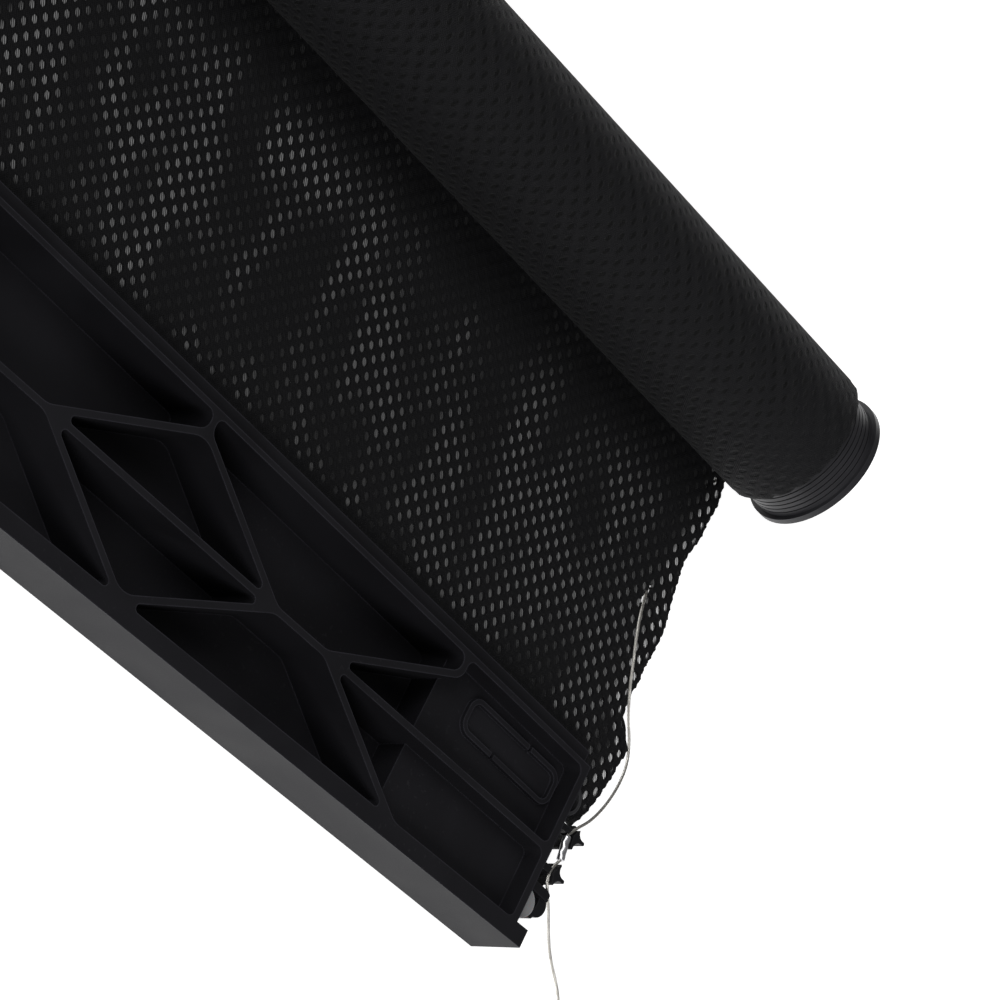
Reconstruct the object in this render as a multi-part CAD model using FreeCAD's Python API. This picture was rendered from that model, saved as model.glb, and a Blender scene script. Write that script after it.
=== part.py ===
import FreeCAD, Part
import math
import os

# Roller load cover: a sprung roller wound with spacer mesh, a ribbed pull bar that draws
# the mesh out, and one thin steel cable at each edge.  Millimetres, +Z up.
# X runs along the roller, the roller is at +Y, the pull bar at -Y, and everything lies
# ribs up on the plane Z = 0.  The origin is the middle of the footprint on that plane.

V = FreeCAD.Vector
AXIS_X = V(1, 0, 0)
AXIS_Y = V(0, 1, 0)
AXIS_Z = V(0, 0, 1)
OVER = 1.0               # how far a cutting shape runs past what it cuts
PLAY = 0.05              # between parts that touch
OVERLAP = 0.1            # of shapes that are joined into one

# ---- pull bar: driving dimensions -------------------------------------------------------
BAR_HEIGHT = 16.3
BAR_END_WIDTH = 48.0
TAPER = 0.056            # how much wider the bar grows per millimetre from its end
TAPER_RUN = 250.0        # length of the straight taper; an arc joins the two tapers
RIB = 1.8
BACK_WALL = 1.5
FRONT_RAIL = 4.8
END_WALL = 2.1
FLOOR = 1.8
RAIL_OVERHANG = 4.0      # the front rail runs past the end wall
MID_SHARE = 0.535        # where the middle rib lies between the two inner faces
STUB = 4.8               # short rib between the back wall and the tip of each rhombus
END_BAY = 46.9           # end wall to the first rhombus tip
LINK = 17.8              # rib that joins two rhombi
HALF_RHOMBUS_FIRST = 36.5
HALF_RHOMBUS_GROWTH = 1.3
HALF_RHOMBUS_MAX = 39.6
RHOMBI_TO_MIDDLE = 5
ACUTE_CORNER = 1.1       # inside corner radii of the pockets, by the angle of the corner
SQUARE_CORNER = 1.9
OBTUSE_CORNER = 6.0
ACUTE_ANGLE = 62.0
OBTUSE_ANGLE = 118.0
CORNER_SHARE = 0.45      # the most of a side that one rounded corner may take

STEP_LENGTH = 48.0       # raised floor in the end pockets
STEP_TOP = 10.5
STEP_SKIN = 1.8
RIDGE = (3.2, 36.8, 4.4, 14.2)   # from the end wall: near, far; from the back edge: near, far
RIDGE_WIDTH = 1.3
RIDGE_HEIGHT = 1.2
RIDGE_CORNER = 3.4
RIDGE_GAPS = ((15.6, 4.4), (25.0, 14.2))
RIDGE_GAP = 0.9

CHANNEL_DEPTH = 4.4      # hem channel along the outside of the back wall
CHANNEL_LOW = 4.4
CHANNEL_HIGH = 13.4
HEM_Z = 8.9
HEM_BORE = 1.8
HEM_ROD = 1.6
HEM_ROD_SHORT = 6.0      # how far inside the bar the rod ends
HEM_SLOT = 1.7

# ---- roller: driving dimensions ---------------------------------------------------------
AXIS_TO_BACK = 104.4     # roller axis to the back edge of the bar, as it lies
ROLL_R = 20.4
TUBE_R = 13.5
TUBE_WALL = 1.2
FABRIC_PAST_BAR = 9.5
AXLE_R = 3.0
BUSH_BORE_R = 3.05
BUSH_R = 5.0
BUSH_LENGTH = 14.0
BARREL_R = 17.6
BARREL_START = 9.8
BARREL_END = 18.3
FLANGE_R = 18.8
FLANGE_END = 19.9
GROOVES = 5
GROOVE_DEPTH = 0.35
GROOVE_WIDTH = 0.35
SPIGOT_LENGTH = 30.0
SPIGOT_BORE_R = 4.0      # clear of the axle
DRUM_SCREW_ANGLES = (0.0, 180.0)
DRUM_SCREW_INSET = 4.0
DRUM_SCREW_FOOT = 6.0    # from the roller's axis
DRUM_SCREW_SUNK = 0.2    # below the tube's surface
KEDER_PLACE = 10.9       # distance of the tube's keder bore from the axis
KEDER_BORE = 1.8
KEDER_ROD = 1.5
KEDER_SLOT = 1.8
KEDER_WALL = 1.0
KEDER_SHORT = 4.0
WASHER = 0.7
WASHER_GAP = 0.1
CLIP_START = 0.85        # from the drum's flange
CLIP = 0.8
CLIP_GROOVE = 0.9
CLIP_R = 5.6
CLIP_MOUTH = 2.2          # half the opening of a clip
WASHER_R = 5.5
JOURNAL_R = 2.5          # the turned-down ends that sit in the side brackets
JOURNAL_START = 1.7      # from the drum's flange
AXLE_PAST_FLANGE = 8.0
AXLE_FLAT_LENGTH = 2.5
AXLE_FLAT = 4.0

SPRING_R = 6.4
SPRING_WIRE = 0.7
SPRING_FROM_END = 60.0
SPRING_LENGTH = 180.0
SPRING_PITCH = 7.5

# ---- mesh sheet and cable ---------------------------------------------------------------
SHEET = 1.1
SHEET_LOW = 1.0          # underside of the sheet where it lies flat
SHEET_FLAT_FROM = 64.0   # from the back edge of the bar
SHEET_ROLL_GAP = 11.0
CABLE_D = 0.8
ARC_SHARE = 0.45
SLEEVE_R = 1.05
SLEEVE_ROUND = 0.4       # the rounding of its rims, as a share of its radius
COIL_R = 6.5
COIL_BUNDLE_R = 1.4
COIL_PLACE = (44.0, -57.5, 1.9)
TIE = 0.35
TIE_HALF = 1.0
STOP_R = 1.2             # the end stop on the free end of the cable
STOP_LENGTH = 4.4
STOP_PLACE = (3.4, -6.9, 1.6)   # from the middle of the coil, and its height
STOP_WAY = (1.0, -0.35, 0.0)


def half_rhombus(index):
    """Half the length of a rhombus, counted from the end of the bar."""
    return min(HALF_RHOMBUS_FIRST + HALF_RHOMBUS_GROWTH * index, HALF_RHOMBUS_MAX)


def truss_stations():
    """Distances from the end wall: the tips, and the (near, far) nodes between them."""
    tips = [END_BAY]
    nodes = []
    for bay in range(RHOMBI_TO_MIDDLE):
        near = tips[-1] + half_rhombus(2 * bay)
        far = near + LINK
        nodes.append((near, far))
        tips.append(far + half_rhombus(2 * bay + 1))
    return tips, nodes


TIPS, NODES = truss_stations()
HALF_BAR = TIPS[-1]
BAR_MID_WIDTH = BAR_END_WIDTH + TAPER * TAPER_RUN + TAPER * (HALF_BAR - TAPER_RUN) / 2
BACK_Y = BAR_MID_WIDTH - (AXIS_TO_BACK + ROLL_R + BAR_MID_WIDTH) / 2
AXIS_TO_Y = BACK_Y + AXIS_TO_BACK
ROLL_HALF = HALF_BAR + FABRIC_PAST_BAR
AXLE_HALF = HALF_BAR + FLANGE_END + AXLE_PAST_FLANGE
AXLE_SHOULDER = HALF_BAR + FLANGE_END + JOURNAL_START


def at(past_end, from_back, height):
    """A point given from the bar's right end, its back edge and the ground."""
    return V(HALF_BAR + past_end, BACK_Y + from_back, height)


def save(name, shape):
    """Writes one sub-part."""
    shape.exportStep(os.path.join("parts", name + ".step"))
    print(name, len(shape.Solids), "solids", round(shape.Volume), "mm3", shape.isValid())


def mirrored(shape):
    return shape.mirror(V(0, 0, 0), AXIS_X)


def save_pair(name, shape):
    """Writes a sub-part of the right end and its mirror image for the left end."""
    save(name + "_right", shape)
    save(name + "_left", mirrored(shape))


def rod(radius, start_x, length, y=AXIS_TO_Y, z=ROLL_R):
    return Part.makeCylinder(radius, length, V(start_x, y, z), AXIS_X)


def box(x0, x1, y0, y1, z0, z1):
    return Part.makeBox(x1 - x0, y1 - y0, z1 - z0, V(x0, y0, z0))


def prism(points, z0, z1):
    """A straight-sided solid on a closed outline of (x, y) points."""
    corners = [V(x, y, z0) for x, y in points]
    wire = Part.makePolygon(corners + corners[:1])
    return Part.Face(wire).extrude(V(0, 0, z1 - z0))


# ---- pull bar ---------------------------------------------------------------------------
def bar_width(x):
    """Width of the bar at x, from its back edge to its front face."""
    from_end = HALF_BAR - abs(x)
    if from_end <= TAPER_RUN:
        return BAR_END_WIDTH + TAPER * from_end
    return BAR_MID_WIDTH - TAPER * x * x / (2 * (HALF_BAR - TAPER_RUN))


def plan(half_length, front_inset, z0, z1, back_inset=0.0):
    """The bar's outline: a straight back and a front of two tapers and an arc."""
    knee = HALF_BAR - TAPER_RUN

    def front(x):
        return BACK_Y - bar_width(x) + front_inset

    tip = BACK_Y - BAR_END_WIDTH + front_inset + TAPER * (half_length - HALF_BAR)
    back = BACK_Y - back_inset
    corners = [
        V(-knee, front(knee), z0),
        V(-half_length, tip, z0),
        V(-half_length, back, z0),
        V(half_length, back, z0),
        V(half_length, tip, z0),
        V(knee, front(knee), z0),
    ]
    edges = [Part.LineSegment(a, b).toShape() for a, b in zip(corners, corners[1:])]
    middle = V(0, front(0), z0)
    edges.append(Part.Arc(corners[-1], middle, corners[0]).toShape())
    return Part.Face(Part.Wire(edges)).extrude(V(0, 0, z1 - z0))


def shifted_line(start, end, distance):
    """The line through two (x, y) points, moved to its left by a distance."""
    run = (end[0] - start[0], end[1] - start[1])
    size = math.hypot(*run)
    left = (-run[1] / size * distance, run[0] / size * distance)
    return (start[0] + left[0], start[1] + left[1]), run


def crossing(first, second):
    """Where two lines, each a point and a direction, cross."""
    (px, py), (ux, uy) = first
    (qx, qy), (vx, vy) = second
    share = ((qx - px) * vy - (qy - py) * vx) / (ux * vy - uy * vx)
    return px + ux * share, py + uy * share


def corner_radius(angle, shorter_side):
    """The inside radius of a pocket's corner, larger in an open corner with long sides."""
    degrees = math.degrees(angle)
    if degrees < ACUTE_ANGLE:
        return ACUTE_CORNER
    wanted = OBTUSE_CORNER if degrees > OBTUSE_ANGLE else SQUARE_CORNER
    return min(wanted, CORNER_SHARE * shorter_side * math.tan(angle / 2))


def rounded_pocket(corners, insets, z0, z1):
    """A cavity inside walls whose centre lines join the corners, with round corners.

    The corners run anticlockwise; insets[i] is half the wall between corners i and i+1.
    """
    count = len(corners)
    lines = [shifted_line(corners[i], corners[(i + 1) % count], insets[i]) for i in range(count)]
    inner = [crossing(lines[i - 1], lines[i]) for i in range(count)]
    edges = []
    tangents = []
    for i in range(count):
        here = V(*inner[i], z0)
        back = V(*inner[i - 1], z0) - here
        ahead = V(*inner[(i + 1) % count], z0) - here
        shorter_side = min(back.Length, ahead.Length)
        back.normalize()
        ahead.normalize()
        angle = back.getAngle(ahead)
        radius = corner_radius(angle, shorter_side)
        reach = radius / math.tan(angle / 2)
        inward = (back + ahead).normalize()
        centre = here + inward * (radius / math.sin(angle / 2))
        start = here + back * reach
        end = here + ahead * reach
        edges.append(Part.Arc(start, centre - inward * radius, end).toShape())
        tangents.append((start, end))
    for i in range(count):
        edges.append(Part.LineSegment(tangents[i][1], tangents[(i + 1) % count][0]).toShape())
    outline = Part.Wire(Part.__sortEdges__(edges))
    return Part.Face(outline).extrude(V(0, 0, z1 - z0))


def truss_point(from_end, share):
    """A point on the right half: share 0 is the back wall's inner face, 1 the front rail's."""
    x = HALF_BAR - from_end
    back = -BACK_WALL
    front = -(bar_width(x) - FRONT_RAIL)
    return x, BACK_Y + back + (front - back) * share


def tip_point(from_end):
    x, back = truss_point(from_end, 0.0)
    return x, back - STUB


def bay_pockets(bay):
    """The cavities behind and in front of the rib that joins two rhombi."""
    near, far = NODES[bay]
    half = RIB / 2
    wall = 0.0
    right = tip_point(TIPS[bay])
    left = tip_point(TIPS[bay + 1])
    right_back = truss_point(TIPS[bay], 0.0)
    left_back = truss_point(TIPS[bay + 1], 0.0)
    right_front = truss_point(TIPS[bay], 1.0)
    left_front = truss_point(TIPS[bay + 1], 1.0)
    near_node = truss_point(near, MID_SHARE)
    far_node = truss_point(far, MID_SHARE)
    behind = [right_back, left_back, left, far_node, near_node, right]
    before = [right_front, near_node, far_node, left_front]
    return [(behind, [wall, half, half, half, half, half]), (before, [half, half, half, wall])]


def end_back_pocket(tip, tip_back, node):
    """The end cavity behind the middle rib."""
    x = HALF_BAR - END_WALL
    corner = (x, BACK_Y - BACK_WALL)
    middle = truss_point(END_WALL, MID_SHARE)
    half = RIB / 2
    return [corner, tip_back, tip, node, middle], [0.0, half, half, half, 0.0]


def end_front_pocket(front, node):
    """The end cavity in front of the middle rib."""
    corner = truss_point(END_WALL, 1.0)
    middle = truss_point(END_WALL, MID_SHARE)
    half = RIB / 2
    return [corner, middle, node, front], [0.0, half, half, 0.0]


def end_pockets():
    """The two cavities between the end wall and the first rhombus."""
    node = truss_point(NODES[0][0], MID_SHARE)
    tip = tip_point(TIPS[0])
    tip_back = truss_point(TIPS[0], 0.0)
    return [end_back_pocket(tip, tip_back, node), end_front_pocket(truss_point(TIPS[0], 1.0), node)]


def rhombus_pockets(tip):
    """The two triangles inside the rhombus at a tip, behind and in front of the middle."""
    half = RIB / 2
    near_side = truss_point(NODES[tip - 1][1], MID_SHARE)
    if tip < RHOMBI_TO_MIDDLE:
        far_side = truss_point(NODES[tip][0], MID_SHARE)
    else:
        far_side = (-near_side[0], near_side[1])
    behind = [tip_point(TIPS[tip]), far_side, near_side]
    before = [truss_point(TIPS[tip], 1.0), near_side, far_side]
    return [(behind, [half, half, half]), (before, [half, half, half])]


def pocket_outlines():
    """Every cavity of the bar's right half, and the two that cross the middle."""
    outlines = end_pockets()
    for bay in range(RHOMBI_TO_MIDDLE):
        outlines += bay_pockets(bay)
        outlines += rhombus_pockets(bay + 1)
    return outlines


def raised_floor():
    """The higher floor of the end pockets, hollow below for the end shoe."""
    x0 = HALF_BAR - STEP_LENGTH
    x1 = HALF_BAR - END_WALL / 2
    y0 = BACK_Y - BAR_END_WIDTH + FRONT_RAIL / 2
    y1 = BACK_Y - BACK_WALL / 2
    return box(x0, x1, y0, y1, FLOOR / 2, STEP_TOP)


SHOE_SLOT = (-46.0, -40.2, -6.0, FLOOR, STEP_TOP - STEP_SKIN)   # x, front y, back y, low z, high z


def shoe_cavity():
    """The pocket under the raised floor, open through the end wall."""
    x0, front, back, low, high = SHOE_SLOT
    return box(HALF_BAR + x0, HALF_BAR + OVER, BACK_Y + front, BACK_Y + back, low, high)


def ridge():
    """The low rounded frame on the back end pocket's raised floor, with two small gaps."""
    near, far, back, front = RIDGE
    top = STEP_TOP + RIDGE_HEIGHT

    def block(inset, radius):
        solid = box(HALF_BAR - far + inset, HALF_BAR - near - inset,
                    BACK_Y - front + inset, BACK_Y - back - inset, STEP_TOP - OVERLAP, top)
        uprights = [e for e in solid.Edges if abs(e.tangentAt(e.FirstParameter).z) > 0.99]
        return solid.makeFillet(radius, uprights)

    frame = block(0.0, RIDGE_CORNER).cut(block(RIDGE_WIDTH, RIDGE_CORNER - RIDGE_WIDTH))
    for from_end, from_back in RIDGE_GAPS:
        x = HALF_BAR - from_end
        y = BACK_Y - from_back
        reach = 2 * RIDGE_WIDTH
        gap = box(x, x + RIDGE_GAP, y - reach, y + reach, STEP_TOP, top + OVER)
        frame = frame.cut(gap)
    return frame


SCREW_PLACES = ((-12.0, -15.0), (-12.0, -31.0))   # past the end, from the back edge
SCREW_R = 1.5
SCREW_HEAD_R = 2.8
SCREW_HEAD = 1.5
SCREW_PLAY = 0.2         # in the bar's holes
SCREW_SUNK = 0.3
SCREW_TOP = 7.0
DRIVE_SHARE = 0.6
DRIVE_DEPTH = 0.9


def screw_hole(place, radius, low, high):
    centre = at(place[0], place[1], low)
    return Part.makeCylinder(radius, high - low, centre, AXIS_Z)


def hem_channel():
    """The rail outside the back wall that holds the hem rod."""
    y0 = BACK_Y - BACK_WALL / 2
    y1 = BACK_Y + CHANNEL_DEPTH
    rail = box(-HALF_BAR, HALF_BAR, y0, y1, CHANNEL_LOW, CHANNEL_HIGH)
    centre = BACK_Y + CHANNEL_DEPTH / 2
    bore = rod(HEM_BORE, -HALF_BAR - OVER, 2 * (HALF_BAR + OVER), centre, HEM_Z)
    slot = box(-HALF_BAR - OVER, HALF_BAR + OVER, centre, y1 + OVER,
               HEM_Z - HEM_SLOT / 2, HEM_Z + HEM_SLOT / 2)
    return rail.cut(bore).cut(slot)


def hem_rod():
    """The rod in the hem of the mesh."""
    start = HEM_ROD_SHORT - HALF_BAR
    return rod(HEM_ROD, start, -2 * start, BACK_Y + CHANNEL_DEPTH / 2, HEM_Z)


def bar_shell():
    """The moulded pull bar: floor, walls, rib truss, raised end floors and hem channel."""
    body = plan(HALF_BAR, 0.0, 0.0, BAR_HEIGHT)
    rail = plan(HALF_BAR + RAIL_OVERHANG, 0.0, 0.0, BAR_HEIGHT)
    behind = plan(HALF_BAR + RAIL_OVERHANG + OVER, FRONT_RAIL, -OVER, BAR_HEIGHT + OVER, -CHANNEL_DEPTH)
    body = body.fuse(rail.cut(behind))
    cavities = []
    for corners, insets in pocket_outlines():
        cavity = rounded_pocket(corners, insets, FLOOR, BAR_HEIGHT + OVER)
        cavities += [cavity, mirrored(cavity)]
    raised = raised_floor().cut(shoe_cavity())
    ground = box(-2 * HALF_BAR, 2 * HALF_BAR, BACK_Y - 2 * BAR_MID_WIDTH, BACK_Y, 0, FLOOR)
    for side in (raised, mirrored(raised)):
        high = side.cut(ground)
        cavities = [c.cut(high) if c.BoundBox.intersect(high.BoundBox) else c for c in cavities]
    body = body.cut(Part.makeCompound(cavities))
    slot = shoe_cavity()
    frame = ridge()
    extras = [frame, mirrored(frame), hem_channel()]
    body = body.fuse(extras)
    body = body.cut([slot, mirrored(slot)])
    holes = []
    for place in SCREW_PLACES:
        holes.append(screw_hole(place, SCREW_R + SCREW_PLAY, -OVER, FLOOR + OVER))
        holes.append(screw_hole(place, SCREW_HEAD_R + SCREW_PLAY, -OVER, SCREW_HEAD))
    holes += [mirrored(h) for h in holes]
    return body.cut(holes).removeSplitter()


def shoe_screws():
    """Countersunk screws from below that hold each shoe in the bar."""
    made = []
    for place in SCREW_PLACES:
        head = screw_hole(place, SCREW_HEAD_R, SCREW_SUNK, SCREW_HEAD)
        shank = screw_hole(place, SCREW_R, SCREW_SUNK, SCREW_TOP)
        drive = screw_hole(place, SCREW_R * DRIVE_SHARE, 0.0, DRIVE_DEPTH)
        made.append(head.fuse(shank).cut(drive))
    return Part.makeCompound(made + [mirrored(m) for m in made])


# ---- end shoe ---------------------------------------------------------------------------
PLATE = 1.5
PLATE_AREA = (-4.0, -41.0, 2.2, 13.2)   # from the back edge: near, far; low z, high z
TONGUE_GAP = 0.25
TONGUE_SHORT = 2.0
POST_CENTRES = ((7.2, -15.1), (6.6, -26.1))
POST_REACH = 2.75
POST_TIP = 0.5           # half the width of each blunt point
POST_WAIST = 1.45
POST_LOW = 5.0
POST_HIGH = 13.8
STEM = 0.85
WEB = (4.3, -15.1, -26.1, 11.3)   # between the posts: past the end; from the back edge: near, far; high z
ARM = (2.0, 8.2, -30.2, -32.6)   # past the end: near, far; from the back edge: near, far
SHOE_LOW = 4.2
ARM_HIGH = 13.2
LOBE_ARCS = (            # the lobe's outer side, toe and inner side: past the end, from the back edge
    ((7.8, -31.6), (9.2, -33.6), (6.6, -37.6)),
    ((6.6, -37.6), (5.2, -38.2), (5.4, -37.0)),
    ((5.4, -37.0), (6.2, -34.8), (5.8, -31.6)),
)
LOBE_DROP = 0.7
CABLE_WAY = 0.65         # half the width of the grooves the cable is led through
GROOVE_FLOOR = 11.95
SLEEVE_WAY = 1.3         # the same for the wider seat of the sleeve
SLEEVE_FLOOR = 11.6
SLEEVE_SEAT = [(5.1, -15.2), (6.7, -22.4)]
GROOVE_FLOOR_LOW = 10.6  # past the arm, where the cable turns down


def star_post(centre):
    """A post with four blunt points and hollow sides, on a stem from the shoe's plate."""
    cx, cy = centre

    def spot(along, across, quarter):
        angle = math.radians(90 * quarter)
        x = cx + along * math.cos(angle) - across * math.sin(angle)
        y = cy + along * math.sin(angle) + across * math.cos(angle)
        return at(x, y, POST_LOW)

    edges = []
    for quarter in range(4):
        left = spot(POST_REACH, POST_TIP, quarter)
        right = spot(POST_REACH, -POST_TIP, quarter)
        nose = spot(POST_REACH + POST_TIP, 0, quarter)
        hollow = spot(POST_WAIST * math.sqrt(0.5), POST_WAIST * math.sqrt(0.5), quarter)
        following = spot(POST_REACH, -POST_TIP, quarter + 1)
        edges.append(Part.Arc(right, nose, left).toShape())
        edges.append(Part.Arc(left, hollow, following).toShape())
    star = Part.Face(Part.Wire(edges)).extrude(V(0, 0, POST_HIGH - POST_LOW))
    stem = box(HALF_BAR + PLATE / 2, HALF_BAR + cx, BACK_Y + cy - STEM, BACK_Y + cy + STEM,
               POST_LOW, POST_HIGH)
    return star.fuse(stem)


def web():
    """The low wall that joins the two posts and stiffens the plate beside the sleeve."""
    reach, near, far, high = WEB
    return box(HALF_BAR + PLATE / 2, HALF_BAR + reach, BACK_Y + far, BACK_Y + near, POST_LOW, high)


def hook():
    """The straight arm and the curved guide lobe at the front of the shoe."""
    near, far, back, front = ARM
    arm = box(HALF_BAR + near / 2, HALF_BAR + far, BACK_Y + front, BACK_Y + back, SHOE_LOW, ARM_HIGH)
    edges = []
    for corners in LOBE_ARCS:
        edges.append(Part.Arc(*[at(x, y, SHOE_LOW) for x, y in corners]).toShape())
    start, end = LOBE_ARCS[-1][-1], LOBE_ARCS[0][0]
    edges.append(Part.LineSegment(at(*start, SHOE_LOW), at(*end, SHOE_LOW)).toShape())
    lobe = Part.Face(Part.Wire(edges)).extrude(V(0, 0, ARM_HIGH - LOBE_DROP - SHOE_LOW))
    return arm.fuse(lobe)


def cable_groove(points, half_width, floor):
    """A straight-walled way, open at the top, along the points of a cable route."""
    left = []
    right = []
    for i, here in enumerate(points):
        before = points[max(i - 1, 0)]
        after = points[min(i + 1, len(points) - 1)]
        run = (after[0] - before[0], after[1] - before[1])
        share = half_width / math.hypot(*run)
        x = HALF_BAR + here[0]
        y = BACK_Y + here[1]
        left.append((x - run[1] * share, y + run[0] * share))
        right.append((x + run[1] * share, y - run[0] * share))
    return prism(left + right[::-1], floor, POST_HIGH + OVER)


def end_shoe():
    """The black end shoe: a tongue inside the bar, a plate on the end wall and its posts."""
    x0, front, back, low, high = SHOE_SLOT
    tongue = box(HALF_BAR + x0 + TONGUE_SHORT, HALF_BAR + PLATE / 2, BACK_Y + front + TONGUE_GAP,
                 BACK_Y + back - TONGUE_GAP, low + PLAY, high - TONGUE_GAP)
    near, far, bottom, top = PLATE_AREA
    plate = box(HALF_BAR + PLAY, HALF_BAR + PLATE, BACK_Y + far, BACK_Y + near, bottom, top)
    shoe = tongue.fuse([plate, web(), hook()] + [star_post(c) for c in POST_CENTRES])
    cuts = [screw_hole(place, SCREW_R, low - OVER, SCREW_TOP + SCREW_PLAY) for place in SCREW_PLACES]
    cuts.append(cable_groove(RUN_POINTS[-3:], CABLE_WAY, GROOVE_FLOOR))
    cuts.append(cable_groove(SLEEVE_SEAT, SLEEVE_WAY, SLEEVE_FLOOR))
    cuts.append(cable_groove(TAIL_POINTS[:5], CABLE_WAY, GROOVE_FLOOR))
    cuts.append(cable_groove(TAIL_POINTS[3:6], CABLE_WAY, GROOVE_FLOOR_LOW))
    return shoe.cut(cuts).removeSplitter()


LEAF_HEIGHTS = (5.5, 13.4)
LEAF_MIDDLE = -8.3       # from the back edge
LEAF_HALF = 4.1
LEAF_CROWN = 4.6         # how far past the bar's end the leaf stands
LEAF_FOOT = 1.0          # thickness at its two feet and at its crown
LEAF_THIN = 0.8


def leaf_fin():
    """The pale curved leaf that takes up play at the end of the bar."""
    low, high = LEAF_HEIGHTS
    back = LEAF_MIDDLE + LEAF_HALF
    front = LEAF_MIDDLE - LEAF_HALF
    out = Part.Arc(at(PLATE, back, low), at(LEAF_CROWN, LEAF_MIDDLE, low), at(PLATE, front, low)).toShape()
    inn = Part.Arc(at(PLATE, front + LEAF_FOOT, low), at(LEAF_CROWN - LEAF_THIN, LEAF_MIDDLE, low),
                   at(PLATE, back - LEAF_FOOT, low)).toShape()
    foot = Part.LineSegment(at(PLATE, front, low), at(PLATE, front + LEAF_FOOT, low)).toShape()
    toe = Part.LineSegment(at(PLATE, back - LEAF_FOOT, low), at(PLATE, back, low)).toShape()
    return Part.Face(Part.Wire([out, foot, inn, toe])).extrude(V(0, 0, high - low))


PAD = (-33.0, -36.6, -40.6)      # from the back edge: near end, crown, far end
PAD_CROWN = 4.9
PAD_HIGH = 13.6


def slide_pad():
    """The pale low-friction pad on the shoe's plate."""
    near, crown, far = PAD
    start = at(PLATE, near, SHOE_LOW)
    end = at(PLATE, far, SHOE_LOW)
    nose = Part.Arc(start, at(PAD_CROWN, crown, SHOE_LOW), end).toShape()
    base = Part.LineSegment(end, start).toShape()
    return Part.Face(Part.Wire([nose, base])).extrude(V(0, 0, PAD_HIGH - SHOE_LOW))


# ---- roller -----------------------------------------------------------------------------
def keder_rib(radius):
    """The inward rib of the tube that holds the keder rod, at the top of the tube."""
    return rod(radius, -ROLL_HALF, 2 * ROLL_HALF, AXIS_TO_Y, ROLL_R + KEDER_PLACE)


def roller_tube():
    outer = rod(TUBE_R, -ROLL_HALF, 2 * ROLL_HALF)
    inner = rod(TUBE_R - TUBE_WALL, -ROLL_HALF - OVER, 2 * (ROLL_HALF + OVER))
    shell = outer.cut(inner)
    rib = keder_rib(KEDER_BORE + KEDER_WALL).common(outer)
    slot = box(-ROLL_HALF - OVER, ROLL_HALF + OVER, AXIS_TO_Y - KEDER_SLOT / 2,
               AXIS_TO_Y + KEDER_SLOT / 2, ROLL_R + KEDER_PLACE, ROLL_R + TUBE_R + OVER)
    bore = keder_rib(KEDER_BORE)
    holes = drum_screw_holes()
    holes += [mirrored(h) for h in holes]
    return shell.fuse(rib).cut([slot, bore] + holes).removeSplitter()


def keder_rod():
    """The rod that holds the mesh in the tube."""
    start = KEDER_SHORT - ROLL_HALF
    return rod(KEDER_ROD, start, -2 * start, AXIS_TO_Y, ROLL_R + KEDER_PLACE)


def inner_plug(start_x, length, bore):
    """A plug that fits the tube and clears its inward rib."""
    plug = rod(TUBE_R - TUBE_WALL, start_x, length)
    return plug.cut([rod(bore, start_x - OVER, length + 2 * OVER),
                     keder_rib(KEDER_BORE + KEDER_WALL + SCREW_PLAY)])


def drum():
    """The right cable drum: a spigot in the tube, a grooved barrel and an outer flange."""
    base = HALF_BAR
    barrel = rod(BARREL_R, base + BARREL_START, BARREL_END - BARREL_START)
    flange = rod(FLANGE_R, base + BARREL_END - OVERLAP, FLANGE_END - BARREL_END + OVERLAP)
    body = barrel.fuse(flange)
    pitch = (BARREL_END - BARREL_START) / (GROOVES + 1)
    grooves = []
    for index in range(GROOVES):
        x = base + BARREL_START + pitch * (index + 1) - GROOVE_WIDTH / 2
        core = rod(BARREL_R - GROOVE_DEPTH, x - OVER, GROOVE_WIDTH + 2 * OVER)
        ring = rod(BARREL_R + OVER, x, GROOVE_WIDTH).cut(core)
        grooves.append(ring)
    body = body.cut(grooves)
    spigot = inner_plug(base + BARREL_START - SPIGOT_LENGTH, SPIGOT_LENGTH + OVERLAP, SPIGOT_BORE_R)
    seat = rod(BUSH_R, base + FLANGE_END - BUSH_LENGTH, BUSH_LENGTH + OVER)
    through = rod(SPIGOT_BORE_R, base + BARREL_START - SPIGOT_LENGTH - OVER, SPIGOT_LENGTH + FLANGE_END)
    body = body.fuse(spigot).cut([seat, through])
    return body.cut([nipple_core(NIPPLE_DEPTH)] + drum_screw_holes()).removeSplitter()


def drum_screw_holes():
    return [drum_screw_core(angle) for angle in DRUM_SCREW_ANGLES]


def drum_screw_core(angle):
    """A radial cylinder through the tube into the drum's spigot."""
    x = HALF_BAR - DRUM_SCREW_INSET
    direction = V(0, math.cos(math.radians(angle)), math.sin(math.radians(angle)))
    start = V(x, AXIS_TO_Y, ROLL_R) + direction * DRUM_SCREW_FOOT
    length = TUBE_R - DRUM_SCREW_SUNK - DRUM_SCREW_FOOT
    return Part.makeCylinder(SCREW_R, length, start, direction)


def drum_screws():
    made = drum_screw_holes()
    return Part.makeCompound(made + [mirrored(m) for m in made])


NIPPLE_R = 1.3
NIPPLE_FROM_END = 11.2
NIPPLE_DEPTH = 4.4
NIPPLE_SUNK = 0.6        # below the barrel's surface


def nipple_core(length):
    """A radial cylinder in the barrel's underside, from the pocket's inner end outward."""
    inner_end = V(HALF_BAR + NIPPLE_FROM_END + NIPPLE_R, AXIS_TO_Y, ROLL_R - BARREL_R + NIPPLE_DEPTH)
    return Part.makeCylinder(NIPPLE_R, length, inner_end, -AXIS_Z)


def drum_nipples():
    """The cable ends that sit in the two drums."""
    one = nipple_core(NIPPLE_DEPTH - NIPPLE_SUNK)
    return Part.makeCompound([one, mirrored(one)])


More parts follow.
